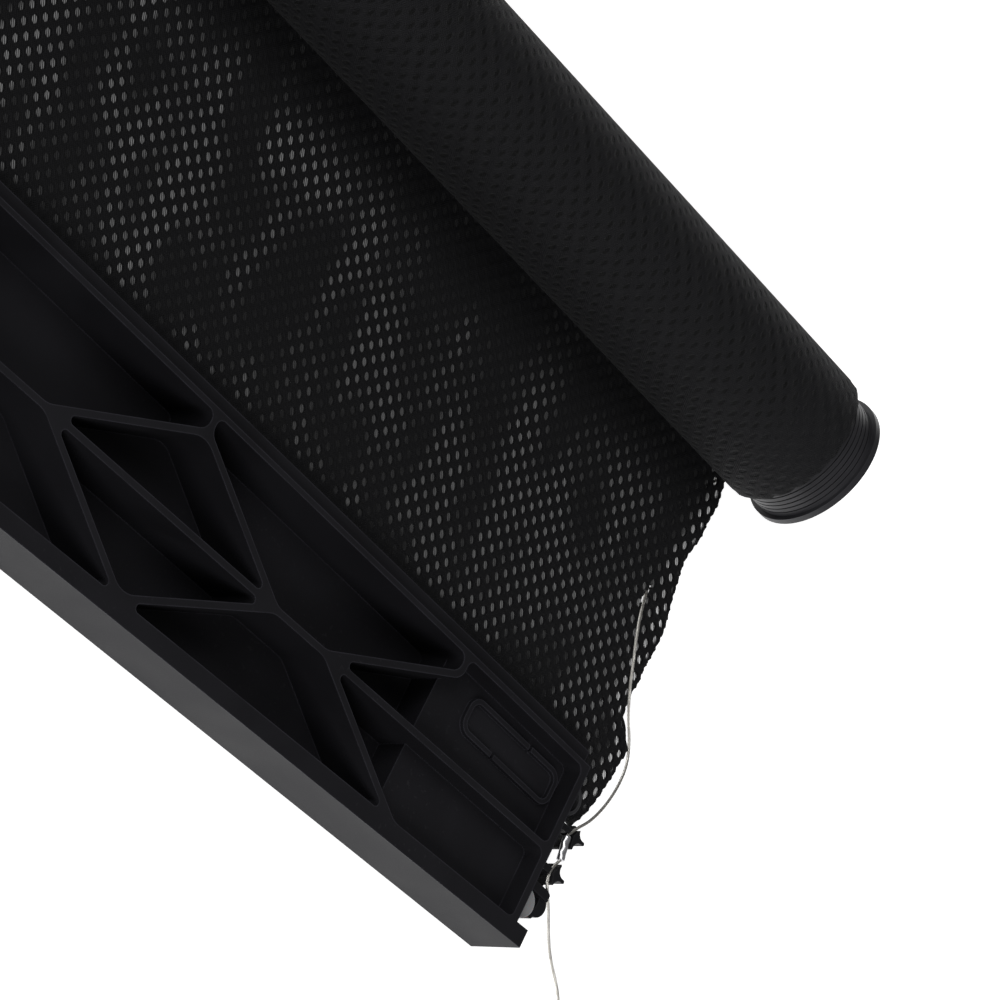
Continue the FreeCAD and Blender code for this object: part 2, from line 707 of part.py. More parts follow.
def bush():
    """A plain bearing bush in the drum's end."""
    start = HALF_BAR + FLANGE_END - BUSH_LENGTH
    return rod(BUSH_R, start, BUSH_LENGTH).cut(rod(BUSH_BORE_R, start - OVER, BUSH_LENGTH + 2 * OVER))


def fabric_roll():
    """The wound mesh on the tube, a plain closed ring."""
    outer = rod(ROLL_R, -ROLL_HALF, 2 * ROLL_HALF)
    return outer.cut(rod(TUBE_R, -ROLL_HALF - OVER, 2 * (ROLL_HALF + OVER)))


def axle():
    """The fixed steel axle: clip grooves, turned-down ends and two flats at each end."""
    body = rod(AXLE_R, -AXLE_SHOULDER, 2 * AXLE_SHOULDER).fuse(rod(JOURNAL_R, -AXLE_HALF, 2 * AXLE_HALF))
    groove_x = HALF_BAR + FLANGE_END + CLIP_START
    core = rod(AXLE_R - CLIP_GROOVE, groove_x - OVER, CLIP + 2 * OVER)
    groove = rod(AXLE_R + OVER, groove_x, CLIP).cut(core)
    cuts = [groove, mirrored(groove)]
    for level in (ROLL_R + AXLE_FLAT / 2, ROLL_R - AXLE_FLAT / 2 - JOURNAL_R):
        flat = box(AXLE_HALF - AXLE_FLAT_LENGTH, AXLE_HALF + OVER, AXIS_TO_Y - AXLE_R, AXIS_TO_Y + AXLE_R,
                   level, level + JOURNAL_R)
        cuts += [flat, mirrored(flat)]
    return body.cut(cuts)


def axle_rings(start, length, outer, inner):
    """The same ring on both ends of the axle."""
    ring = rod(outer, start, length).cut(rod(inner, start - OVER, length + 2 * OVER))
    return ring, mirrored(ring)


def thrust_washers():
    start = HALF_BAR + FLANGE_END + WASHER_GAP
    return Part.makeCompound(list(axle_rings(start, WASHER - PLAY, WASHER_R, AXLE_R)))


def retaining_clips():
    """Two open spring clips in the axle's grooves."""
    start = HALF_BAR + FLANGE_END + CLIP_START
    made = []
    for ring in axle_rings(start, CLIP, CLIP_R, AXLE_R - CLIP_GROOVE):
        middle = ring.BoundBox.Center
        mouth = box(middle.x - OVER, middle.x + OVER, middle.y - CLIP_MOUTH, middle.y + CLIP_MOUTH,
                    middle.z - CLIP_R - OVER, middle.z)
        made.append(ring.cut(mouth))
    return Part.makeCompound(made)


SPRING_START = -(HALF_BAR - SPRING_FROM_END)
SPRING_PLAY = 1.0        # between the spring and the anchor
DRIVER_GAP = 3.0         # the spring's play at both ends and its last wire
ANCHOR_LENGTH = 12.0
ANCHOR_WALL = 1.0        # outside the spring's middle line
KEYWAY_HALF = 0.8
KEYWAY_FLOOR = 2.0       # above the axle
DRIVER_LENGTH = 18.0
DRIVER_BORE_R = 3.4


def roller_spring():
    """The torsion spring on the axle inside the tube."""
    helix = Part.makeHelix(SPRING_PITCH, SPRING_LENGTH, SPRING_R)
    profile = Part.Wire(Part.makeCircle(SPRING_WIRE, V(SPRING_R, 0, 0), AXIS_Y))
    coil = Part.Wire(helix).makePipeShell([profile], True, True)
    coil.rotate(V(0, 0, 0), AXIS_Y, 90)
    coil.translate(V(SPRING_START + ANCHOR_LENGTH + SPRING_PLAY, AXIS_TO_Y, ROLL_R))
    return coil


def spring_anchor():
    """The collar fixed on the axle that holds the spring's still end."""
    outer_r = SPRING_R + ANCHOR_WALL
    bore = rod(AXLE_R, SPRING_START - OVER, ANCHOR_LENGTH + 2 * OVER)
    keyway = box(SPRING_START - OVER, SPRING_START + ANCHOR_LENGTH + OVER, AXIS_TO_Y - KEYWAY_HALF,
                 AXIS_TO_Y + KEYWAY_HALF, ROLL_R + AXLE_R + KEYWAY_FLOOR, ROLL_R + outer_r + OVER)
    return rod(outer_r, SPRING_START, ANCHOR_LENGTH).cut([bore, keyway])


def spring_driver():
    """The plug fixed in the tube that turns the spring's other end."""
    start = SPRING_START + ANCHOR_LENGTH + SPRING_LENGTH + DRIVER_GAP
    return inner_plug(start, DRIVER_LENGTH, DRIVER_BORE_R)


# ---- mesh sheet -------------------------------------------------------------------------
SHEET_NEAR = 4.0
HOLE = (3.4, 3.0, 49.5, 61.5)   # past the end: centre, width; from the back edge: near, far


def sheet_low(from_back):
    """Height of the sheet's underside."""
    rise = (HEM_Z - SHEET / 2 - SHEET_LOW) / (SHEET_FLAT_FROM - SHEET_NEAR)
    return SHEET_LOW + max(0.0, SHEET_FLAT_FROM - from_back) * rise


def fabric_sheet():
    """The drawn-out mesh between the roll and the bar, a plain thin sheet."""
    end = AXIS_TO_BACK - SHEET_ROLL_GAP
    below = [(y, sheet_low(y)) for y in (SHEET_NEAR, SHEET_FLAT_FROM, end)]
    above = [(y, z + SHEET) for y, z in reversed(below)]
    corners = [V(-ROLL_HALF, BACK_Y + y, z) for y, z in below + above]
    sheet = Part.Face(Part.makePolygon(corners + corners[:1])).extrude(V(2 * ROLL_HALF, 0, 0))
    centre, width, near, far = HOLE
    hole = box(HALF_BAR + centre - width / 2, HALF_BAR + centre + width / 2,
               BACK_Y + near, BACK_Y + far, -OVER, HEM_Z)
    return sheet.cut([hole, mirrored(hole)])


# ---- cable ------------------------------------------------------------------------------
# Points from the bar's right end, its back edge and the ground.
RUN_POINTS = [
    (14.0, 103.6, 2.35), (13.4, 99.4, 1.5), (11.4, 94.8, 0.75), (8.2, 90.2, 0.45), (5.0, 85.4, 0.45),
    (2.7, 80.0, 0.45), (2.4, 74.0, 0.45), (3.2, 67.6, 0.45), (4.1, 61.8, 0.6), (3.9, 56.4, 1.6),
    (3.0, 51.6, 3.6), (2.9, 46.6, 4.9), (4.0, 41.2, 5.7), (5.9, 35.2, 6.4), (8.1, 28.6, 7.0),
    (11.2, 22.3, 7.3), (14.9, 17.4, 7.5), (16.8, 11.8, 8.1), (16.1, 5.6, 9.2), (14.3, -0.2, 10.5),
    (12.0, -5.2, 11.7), (9.6, -9.4, 12.5), (6.7, -13.0, 12.9), (5.3, -15.9, 12.9),
]
SLEEVE_POINTS = [(5.3, -15.9, 12.9), (6.6, -21.9, 12.9)]
TAIL_POINTS = [
    (6.6, -21.9, 12.9), (5.6, -23.9, 12.9), (5.1, -26.3, 12.9), (6.2, -28.7, 12.6), (8.8, -30.4, 11.6),
    (12.8, -31.9, 9.4), (18.0, -34.0, 6.2), (23.4, -36.2, 3.2), (28.3, -38.0, 1.1), (32.0, -39.9, 0.4),
    (35.4, -43.2, 0.4), (37.4, -47.6, 0.9), (37.9, -52.2, 1.5), (37.5, -56.5, 1.9),
]


def cable_tube(points, label):
    """A cable along straight runs joined by tangent arcs, each as large as its runs allow."""
    spots = [at(*p) for p in points]
    edges = []
    here = spots[0]
    radii = []
    for before, corner, after in zip(spots, spots[1:], spots[2:]):
        back = (before - corner)
        ahead = (after - corner)
        shorter = min(back.Length, ahead.Length)
        back.normalize()
        ahead.normalize()
        turn = math.pi - back.getAngle(ahead)
        radius = ARC_SHARE * shorter / math.tan(turn / 2)
        start = corner + back * (ARC_SHARE * shorter)
        end = corner + ahead * (ARC_SHARE * shorter)
        inward = (back + ahead).normalize()
        middle = corner + inward * (radius / math.cos(turn / 2) - radius)
        edges.append(Part.LineSegment(here, start).toShape())
        edges.append(Part.Arc(start, middle, end).toShape())
        radii.append(round(radius, 1))
        here = end
    edges.append(Part.LineSegment(here, spots[-1]).toShape())
    length = sum(edge.Length for edge in edges)
    direction = spots[1] - spots[0]
    profile = Part.Wire(Part.makeCircle(CABLE_D / 2, spots[0], direction))
    tube = Part.Wire(edges).makePipeShell([profile], True, False)
    section = math.pi * (CABLE_D / 2) ** 2
    print(label, "length", round(length, 1), "volume share", round(tube.Volume / (section * length), 4))
    print(label, "radii", radii)
    return tube


def crimp_sleeve():
    """The crimped ferrule on the cable, with rounded ends."""
    start = at(*SLEEVE_POINTS[0])
    run = at(*SLEEVE_POINTS[1]) - start
    ferrule = Part.makeCylinder(SLEEVE_R, run.Length, start, run)
    rims = [e for e in ferrule.Edges if isinstance(e.Curve, Part.Circle)]
    return ferrule.makeFillet(SLEEVE_R * SLEEVE_ROUND, rims)


def coil_solid():
    """The outer shape of the put-away length of cable."""
    return Part.makeTorus(COIL_R, COIL_BUNDLE_R, at(*COIL_PLACE), AXIS_Z)


def coil_tie():
    """A band round the coil."""
    x, y, z = COIL_PLACE
    centre = x + COIL_R

    def block(reach, half_width):
        low = at(centre - reach, y - half_width, z - reach)
        return Part.makeBox(2 * reach, 2 * half_width, 2 * reach, low)

    reach = COIL_BUNDLE_R + PLAY
    return block(reach + TIE, TIE_HALF).cut(block(reach, TIE_HALF + OVER))


def tail_nipple():
    """The end stop on the cable's free end."""
    x, y, height = STOP_PLACE
    start = at(COIL_PLACE[0] + x, COIL_PLACE[1] + y, height)
    return Part.makeCylinder(STOP_R, STOP_LENGTH, start, V(*STOP_WAY))


def main():
    os.makedirs("parts", exist_ok=True)
    save("bar_shell", bar_shell())
    save("hem_rod", hem_rod())
    save_pair("end_shoe", end_shoe())
    save_pair("leaf_fin", leaf_fin())
    save_pair("slide_pad", slide_pad())
    save("shoe_screws", shoe_screws())
    save("roller_tube", roller_tube())
    save("tube_keder", keder_rod())
    save_pair("cable_drum", drum())
    save_pair("bearing_bush", bush())
    save("drum_screws", drum_screws())
    save("drum_nipples", drum_nipples())
    save("spring_driver", spring_driver())
    save("fabric_roll", fabric_roll())
    save("axle", axle())
    save("thrust_washers", thrust_washers())
    save("retaining_clips", retaining_clips())
    save("spring_anchor", spring_anchor())
    save("roller_spring", roller_spring())
    save("fabric_sheet", fabric_sheet())
    save_pair("cable_run", cable_tube(RUN_POINTS, "cable run"))
    save_pair("crimp_sleeve", crimp_sleeve())
    save_pair("cable_tail", cable_tube(TAIL_POINTS, "cable tail"))
    save_pair("cable_coil", coil_solid())
    save_pair("coil_tie", coil_tie())
    save_pair("tail_nipple", tail_nipple())
    print("half bar", HALF_BAR, "bar middle width", BAR_MID_WIDTH, "back y", BACK_Y, "axis y", AXIS_TO_Y)


main()
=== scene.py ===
# %% [markdown]
# A roller load cover, close up at its right end.
# The real thing is a sprung roller wound with thick black mesh, a ribbed plastic pull bar that
# draws the mesh out, and one thin steel cable at each edge.
# The hard parts arrive ready made, in metres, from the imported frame.  This lesson keeps their
# shapes, gives them better finishes, and builds the soft parts anew: cables, sheet and roll.

# %% Load the frame
import math

import bpy
from mathutils import Matrix, Vector


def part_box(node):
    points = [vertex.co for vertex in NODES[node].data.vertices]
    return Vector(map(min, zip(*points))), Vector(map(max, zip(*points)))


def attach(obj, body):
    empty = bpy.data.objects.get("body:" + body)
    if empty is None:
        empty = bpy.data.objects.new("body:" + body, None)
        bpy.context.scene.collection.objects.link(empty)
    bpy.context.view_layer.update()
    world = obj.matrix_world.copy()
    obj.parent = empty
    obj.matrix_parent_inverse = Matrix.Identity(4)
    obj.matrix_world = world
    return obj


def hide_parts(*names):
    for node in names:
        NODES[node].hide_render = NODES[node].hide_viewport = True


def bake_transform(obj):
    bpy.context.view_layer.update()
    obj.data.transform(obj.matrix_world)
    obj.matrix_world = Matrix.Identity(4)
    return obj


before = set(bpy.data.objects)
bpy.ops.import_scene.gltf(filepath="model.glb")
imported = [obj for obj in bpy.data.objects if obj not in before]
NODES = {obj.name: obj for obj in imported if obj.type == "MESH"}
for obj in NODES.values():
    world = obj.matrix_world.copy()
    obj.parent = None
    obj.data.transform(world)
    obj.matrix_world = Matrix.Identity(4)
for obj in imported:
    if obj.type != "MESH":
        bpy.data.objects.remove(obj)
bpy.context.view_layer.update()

MM = 0.001

# %% [markdown]
# Places on this object are easiest to say from three lines: the right end of the pull bar, the
# bar's back edge, and the ground.  All three can be read from the frame's own boxes, so nothing
# has to be typed in twice, except how far the front rail and the hem channel stand out past them.
# `at` turns such a place, in millimetres, into a point in metres, and `side` mirrors it for the
# left end, because both ends of the cover are alike.

# %% Find the bar's end, its back edge and the roller's axis
RAIL_OVERHANG = 4.0 * MM
CHANNEL_DEPTH = 4.4 * MM
bar_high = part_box("bar_shell")[1]
BAR_END = bar_high.x - RAIL_OVERHANG
BACK_EDGE = bar_high.y - CHANNEL_DEPTH
axle_low, axle_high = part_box("axle")
AXIS_Y = (axle_low.y + axle_high.y) / 2
AXIS_Z = (axle_low.z + axle_high.z) / 2


def at(past_end, from_back, height, side=1):
    return Vector((side * (BAR_END + past_end * MM), BACK_EDGE + from_back * MM, height * MM))


print("bar end", round(BAR_END, 4), "back edge", round(BACK_EDGE, 4), "axis", round(AXIS_Y, 4))

# %% [markdown]
# The camera comes first, because everything else is judged through it.  It is a long lens held
# high on the left, turned on its side, looking down at the right end of the cover.  A camera
# looks along its own -Z with its own X to the right, so its turn can be given by two
# directions: the line of sight and the way that is sideways in the view.  The Standard view shows
# a white table as pure white, where Blender's own default would turn it light grey.

# %% Camera
LINE_OF_SIGHT = Vector((0.54118, 0.44097, -0.71601))
SIDEWAYS = Vector((0.59429, 0.40185, 0.69666))
upward = SIDEWAYS.cross(LINE_OF_SIGHT)
turn = Matrix((SIDEWAYS, upward, -LINE_OF_SIGHT)).transposed()
lens = bpy.data.cameras.new("long_lens")
lens.lens = 170.5
lens.sensor_width = 36.0
lens.clip_start = 0.05
camera = bpy.data.objects.new("camera", lens)
camera.matrix_world = Matrix.Translation((-0.12682, -0.47715, 0.80227)) @ turn.to_4x4()
bpy.context.scene.collection.objects.link(camera)
bpy.context.scene.camera = camera
bpy.context.scene.view_settings.view_transform = "Standard"
print("camera at", [round(c, 3) for c in camera.location])

# %% [markdown]
# The cable is a wire rope under a millimetre thick.  Its line is one smooth NURBS spline: a few
# control points say where it goes, and the spline rounds every corner as springy wire would.
# Order 3 keeps it close to its points.  It is set after the points, because Blender lowers the
# order of a spline that has too few of them.

# %% A smooth line through space
def smooth_line(points):
    """The points along an order 3 NURBS spline with these control points."""
    curve = bpy.data.curves.new("line", "CURVE")
    curve.dimensions = "3D"
    spline = curve.splines.new("NURBS")
    spline.points.add(len(points) - 1)
    for spot, place in zip(spline.points, points):
        spot.co = (*place, 1.0)
    spline.order_u = 3
    spline.use_endpoint_u = True
    spline.resolution_u = 10
    holder = bpy.data.objects.new("line", curve)
    mesh = bpy.data.meshes.new_from_object(holder)
    line = [v.co.copy() for v in mesh.vertices]
    bpy.data.objects.remove(holder)
    bpy.data.curves.remove(curve)
    bpy.data.meshes.remove(mesh)
    return line


def length_of(line):
    return sum((b - a).length for a, b in zip(line, line[1:]))


# %% [markdown]
# Wire rope is not a smooth rod: six strands lie round each other in long spirals, which is what
# makes it glint in dashes.  A plain round tube would miss that, so each strand is its own thin
# tube, wound round the line.  A frame is carried along the line without twisting it, and every
# strand turns round that frame once in each lay length.  The strands are a little thicker than
# would just fit, so that they press into each other and leave no slit.

# %% Wind strands round a line
CABLE_D = 0.8 * MM
STRANDS = 6
STRAND_SIDES = 6
STRAND_SWELL = 1.06
LAY = 6.0 * MM
ROPE_STEP = 0.45 * MM


def make_object(name, vertices, faces, smooth=True):
    mesh = bpy.data.meshes.new(name)
    mesh.from_pydata([tuple(v) for v in vertices], [], faces)
    mesh.update()
    if smooth:
        mesh.shade_smooth()
    piece = bpy.data.objects.new(name, mesh)
    bpy.context.scene.collection.objects.link(piece)
    return piece


def even_line(line, step):
    """The same line with points a step apart."""
    total = length_of(line)
    count = max(2, round(total / step))
    result = [line[0].copy()]
    walked, index = 0.0, 0
    for k in range(1, count):
        goal = total * k / count
        while walked + (line[index + 1] - line[index]).length < goal:
            walked += (line[index + 1] - line[index]).length
            index += 1
        share = (goal - walked) / (line[index + 1] - line[index]).length
        result.append(line[index].lerp(line[index + 1], share))
    return result + [line[-1].copy()]


def wire_rope(name, line):
    """Six strands in a spiral along a line."""
    line = even_line(line, ROPE_STEP)
    strand_r = CABLE_D / 2 / (1 + 1 / math.sin(math.pi / STRANDS)) * STRAND_SWELL
    orbit = CABLE_D / 2 - strand_r
    across = (line[1] - line[0]).orthogonal().normalized()
    vertices, faces, sides, walked = [], [], STRAND_SIDES, 0.0
    for k, here in enumerate(line):
        along = (line[min(k + 1, len(line) - 1)] - line[max(k - 1, 0)]).normalized()
        across = (across - along * across.dot(along)).normalized()
        other = along.cross(across)
        if k:
            walked += (here - line[k - 1]).length
        for s in range(STRANDS):
            angle = math.tau * (walked / LAY + s / STRANDS)
            out = across * math.cos(angle) + other * math.sin(angle)
            round_it = across * -math.sin(angle) + other * math.cos(angle)
            for j in range(sides):
                turn_j = math.tau * j / sides
                edge = out * math.cos(turn_j) + round_it * math.sin(turn_j)
                vertices.append(here + out * orbit + edge * strand_r)
    ring = STRANDS * sides
    for k in range(len(line) - 1):
        for s in range(STRANDS):
            for j in range(sides):
                a = k * ring + s * sides + j
                b = k * ring + s * sides + (j + 1) % sides
                faces.append((a, b, b + ring, a + ring))
    for k in (0, len(line) - 1):
        for s in range(STRANDS):
            cap = [k * ring + s * sides + j for j in range(sides)]
            faces.append(cap if k else cap[::-1])
    return make_object(name, vertices, faces)


# %% [markdown]
# The run leaves the drum low down, lies under the edge of the mesh, comes up through it, and
# swings out round the bar's end to a crimped sleeve.  One end of it stays with the roller and
# the other goes with the bar.

# %% Cable run, from the drum to the sleeve
RUN_POINTS = [
    (14.0, 103.6, 2.35), (13.4, 99.4, 1.5), (11.4, 94.8, 0.75), (8.2, 90.2, 0.45),
    (5.0, 85.4, 0.45), (2.7, 80.0, 0.45), (2.4, 74.0, 0.45), (3.2, 67.6, 0.45),
    (4.1, 61.8, 0.6), (3.9, 56.4, 1.6), (3.0, 51.6, 3.6), (2.9, 46.6, 4.9),
    (4.0, 41.2, 5.7), (5.9, 35.2, 6.4), (8.1, 28.6, 7.0), (11.2, 22.3, 7.3),
    (14.9, 17.4, 7.5), (16.8, 11.8, 8.1), (16.1, 5.6, 9.2), (14.3, -0.2, 10.5),
    (12.0, -5.2, 11.7), (9.6, -9.4, 12.5), (6.7, -13.0, 12.9), (5.3, -15.9, 12.9),
]
SLEEVE_ENDS = [(5.3, -15.9, 12.9), (6.6, -21.9, 12.9)]
SIDES = {"right": 1, "left": -1}
run_pieces, run_lines = {}, {}
for end, side in SIDES.items():
    line = smooth_line([at(*p, side) for p in RUN_POINTS])
    run_lines[end] = line
    run_pieces[end] = wire_rope("wire_run_" + end, line)
    print("run", end, round(length_of(line) * 1000, 1), "mm")

# %% [markdown]
# The sleeve is a short aluminium tube squeezed flat round the cable in two places.  It is
# lofted: rings along the cable whose width and height change, so the squeezed places bulge
# sideways as pressed metal does.

# %% Crimped sleeve
def loft(name, start, direction, stations, segments=20):
    """Rings along a direction; each station is (distance, half width, half height)."""
    direction = direction.normalized()
    wide = direction.cross(Vector((0, 0, 1))).normalized()
    high = wide.cross(direction)
    vertices, faces = [], []
    for distance, width, height in stations:
        centre = start + direction * distance
        for j in range(segments):
            angle = math.tau * j / segments
            vertices.append(centre + wide * (width * math.cos(angle)) + high * (height * math.sin(angle)))
    for k in range(len(stations) - 1):
        for j in range(segments):
            a, b = k * segments + j, k * segments + (j + 1) % segments
            faces.append((b, a, a + segments, b + segments))
    faces.append(list(range(segments)))
    faces.append([len(vertices) - segments + j for j in range(segments)][::-1])
    return make_object(name, vertices, faces)


SLEEVE_R = 1.02
SLEEVE_RIM = [(0.0, 0.62, 0.62), (0.0, 0.86, 0.86), (0.15, 0.98, 0.98)]
SLEEVE_STEPS = 26
SQUEEZED_AT = (0.3, 0.7)     # shares of the sleeve's length
SQUEEZE_LENGTH = 0.1
WIDER, FLATTER = 0.12, 0.26


def in_metres(stations):
    return [(distance * MM, width * MM, height * MM) for distance, width, height in stations]


def sleeve_stations(length):
    """The sleeve's rings in millimetres: a rounded rim at both ends and two squeezed places."""
    stations = list(SLEEVE_RIM)
    for k in range(1, SLEEVE_STEPS):
        share = k / SLEEVE_STEPS
        squeeze = sum(math.exp(-((share - place) / SQUEEZE_LENGTH) ** 2) for place in SQUEEZED_AT)
        stations.append((share * length, SLEEVE_R + WIDER * squeeze, SLEEVE_R - FLATTER * squeeze))
    return stations + [(length - distance, width, height) for distance, width, height in reversed(SLEEVE_RIM)]


sleeve_pieces = {}
for end, side in SIDES.items():
    start, stop = (at(*p, side) for p in SLEEVE_ENDS)
    run = stop - start
    rings = in_metres(sleeve_stations(run.length / MM))
    sleeve_pieces[end] = loft("wire_sleeve_" + end, start, run, rings)
    print("sleeve", end, round(run.length * 1000, 2), "mm")

# %% [markdown]
# Past the sleeve the cable's free end lies down on the ground and is put away in a small neat
# coil.  The turns are part of the same spline, twelve points to each turn.  Real turns pack like
# pencils in a round bundle: one in the middle and six round it, so the loop steps from place to
# place in that bundle and changes over in the last third of each turn.

# %% Tail and coil in one line
TAIL_POINTS = [
    (6.6, -21.9, 12.9), (5.6, -23.9, 12.9), (5.1, -26.3, 12.9), (6.2, -28.7, 12.6),
    (8.8, -30.4, 11.6), (12.8, -31.9, 9.4), (18.0, -34.0, 6.2), (23.4, -36.2, 3.2),
    (28.3, -38.0, 1.1), (32.0, -39.9, 0.4), (35.4, -43.2, 0.4), (37.4, -47.6, 0.9),
]
COIL_MIDDLE = (44.0, -57.5, 1.65)
COIL_R = 6.5
TURN_POINTS = 12
CHANGE_FROM = 0.66       # the share of a turn after which the cable moves to its next place
BUNDLE_PLACES = [(-0.45, -0.78), (0.45, -0.78), (0.9, 0.0), (0.0, 0.0), (-0.9, 0.0),
                 (-0.45, 0.78), (0.45, 0.78)]     # outward and upward, in millimetres
LEAVING = [(38.0, -61.2, 2.5), (40.6, -65.0, 2.6), (44.6, -66.4, 1.9)]
NIPPLE_START = (47.7, -66.3, 1.4)


def coil_points():
    x, y, z = COIL_MIDDLE
    points = []
    for k in range(TURN_POINTS * len(BUNDLE_PLACES)):
        index, share = k // TURN_POINTS, (k % TURN_POINTS) / TURN_POINTS
        change = max(0.0, (share - CHANGE_FROM) / (1 - CHANGE_FROM))
        following = BUNDLE_PLACES[min(index + 1, len(BUNDLE_PLACES) - 1)]
        outward = BUNDLE_PLACES[index][0] * (1 - change) + following[0] * change
        upward_mm = BUNDLE_PLACES[index][1] * (1 - change) + following[1] * change
        angle = math.pi + math.tau * (k + 0.5) / TURN_POINTS
        reach = COIL_R + outward
        points.append((x + reach * math.cos(angle), y + reach * math.sin(angle), z + upward_mm))
    return points


tail_pieces, tail_lines = {}, {}
for end, side in SIDES.items():
    line = smooth_line([at(*p, side) for p in TAIL_POINTS + coil_points() + LEAVING + [NIPPLE_START]])
    tail_lines[end] = line
    tail_pieces[end] = wire_rope("wire_tail_" + end, line)
    print("tail", end, round(length_of(line), 3), "m")

# %% [markdown]
# The cable ends in a small barrel, the nipple that hooks into a fitting.  It is turned metal, so
# it is lofted from rings too, with a chamfer, a neck and a flat end.  A strip of rubber, bent
# round the coil and pinched shut, holds the turns together.

# %% Nipple and coil tie
TIE_INNER, TIE_OUTER, TIE_HALF = 1.36 * MM, 1.58 * MM, 1.0 * MM
TIE_CROWN = 1.02
TAB_REACH = 2.3 * MM
TAB_ANGLE, TAB_SPREAD = 0.45, 0.16
NIPPLE_WAY = (1, -0.12, 0)


def tie_band(name, side):
    """A rubber strip round the coil's bundle, with a pinched tab outside."""
    centre = at(COIL_MIDDLE[0] + COIL_R, COIL_MIDDLE[1], COIL_MIDDLE[2], side)
    inner, outer, half, segments = TIE_INNER, TIE_OUTER, TIE_HALF, 36
    profile = [(inner, -half), (outer, -half), (outer, -half / 2), (outer * TIE_CROWN, 0.0),
               (outer, half / 2), (outer, half), (inner, half)]
    vertices, faces = [], []
    for k in range(segments):
        angle = math.tau * k / segments
        tab = TAB_REACH * math.exp(-((angle - TAB_ANGLE) / TAB_SPREAD) ** 2)
        for radius, y in profile:
            reach = radius + (tab if radius > inner else 0.0)
            vertices.append(centre + Vector((side * reach * math.cos(angle), y, reach * math.sin(angle))))
    size = len(profile)
    for k in range(segments):
        for j in range(size):
            a, b = k * size + j, k * size + (j + 1) % size
            c, d = (k + 1) % segments * size + (j + 1) % size, (k + 1) % segments * size + j
            faces.append((a, b, c, d) if side > 0 else (d, c, b, a))
    return make_object(name, vertices, faces)


NIPPLE_RINGS = [(0.0, 0.55, 0.55), (0.0, 0.75, 0.75), (0.4, 0.8, 0.8), (0.5, 1.05, 1.05), (0.7, 1.2, 1.2),
                (1.9, 1.2, 1.2), (2.0, 1.1, 1.1), (2.3, 1.1, 1.1), (2.4, 1.2, 1.2), (4.1, 1.2, 1.2),
                (4.3, 1.05, 1.05), (4.4, 0.8, 0.8)]
tie_pieces, nipple_pieces = {}, {}
for end, side in SIDES.items():
    tie_pieces[end] = tie_band("rubber_tie_" + end, side)
    way = Vector((side * NIPPLE_WAY[0], NIPPLE_WAY[1], NIPPLE_WAY[2]))
    start = at(*NIPPLE_START, side)
    nipple_pieces[end] = loft("wire_nipple_" + end, start, way, in_metres(NIPPLE_RINGS))
print("ties and nipples", len(tie_pieces) + len(nipple_pieces))

# %% [markdown]
# Now the frame's own cable parts are hidden, and these pieces take their place.  The sleeve,
# the tail, its tie and its nipple ride on the pull bar's body; the run stays where it was built.

# %% Hide the frame's cable parts and hang the pieces on the bar
for end, side in SIDES.items():
    run, sleeve, tail = run_pieces[end], sleeve_pieces[end], tail_pieces[end]
    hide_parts("cable_run_" + end)
    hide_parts("crimp_sleeve_" + end)
    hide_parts("cable_tail_" + end, "cable_coil_" + end)
    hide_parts("coil_tie_" + end)
    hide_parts("tail_nipple_" + end)
    for piece in (sleeve, tail, tie_pieces[end], nipple_pieces[end]):
        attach(piece, "pull_bar")
    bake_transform(run)

# %% [markdown]
# The cover itself is spacer mesh: two knitted faces with rows of oval holes, held about a
# millimetre apart by fine threads.  Where it lies flat it is drawn between the roll and the bar,
# but outside the cables nothing pulls on it, so its free edge wanders in and out.
# The sheet is a grid.  Its rows follow that free edge, and its height follows the line from the
# ground up to the hem channel, with small lifts near the edge where it is slack.  All lengths in
# this cell are millimetres.

# %% The line of the sheet
MESH_THICK = 0.8
EDGE_LINE = [            # (from the bar's back edge, past the bar's end)
    (-10.0, 11.0), (-4.0, 12.0), (2.0, 12.4), (8.0, 13.6), (15.0, 15.0), (18.5, 12.6), (22.0, 9.9),
    (27.0, 9.6), (33.0, 10.4), (42.0, 11.9), (52.0, 12.4), (62.0, 11.0), (68.0, 10.8),
    (78.0, 11.8), (86.0, 12.6), (91.0, 11.8), (96.0, 11.0),
]
EDGE_LOOPS = [(0.16, 2.46, 0.0), (0.09, 1.37, 1.0)]     # size, length along the edge, start
ROLL_SIDE = 95.0
HEM_SIDE = 4.1
HEM_HEIGHT = 8.9
LOW_HEIGHT = 1.55
LIES_FLAT_FROM = 64.0
LIFT, LIFT_WAVES, LIFT_START = 0.7, 0.42, 0.8
SLACK_REACH = 6.0        # how fast the lifts die away inward
DROOP = 0.021            # how the flap past the bar's end hangs
FLAP = 13.6


def smooth_step(x, low, high):
    t = min(1.0, max(0.0, (x - low) / (high - low)))
    return t * t * (3 - 2 * t)


def free_edge(from_back):
    """How far past the bar's end the sheet's edge is, at a distance from the back edge."""
    spots = EDGE_LINE
    loops = sum(size * math.sin(from_back * math.tau / length + start) for size, length, start in EDGE_LOOPS)
    from_back = min(max(from_back, spots[0][0]), spots[-1][0])
    for (y0, x0), (y1, x1) in zip(spots, spots[1:]):
        if from_back <= y1:
            share = (1 - math.cos(math.pi * (from_back - y0) / (y1 - y0))) / 2
            return x0 + (x1 - x0) * share + loops
    return spots[-1][1] + loops


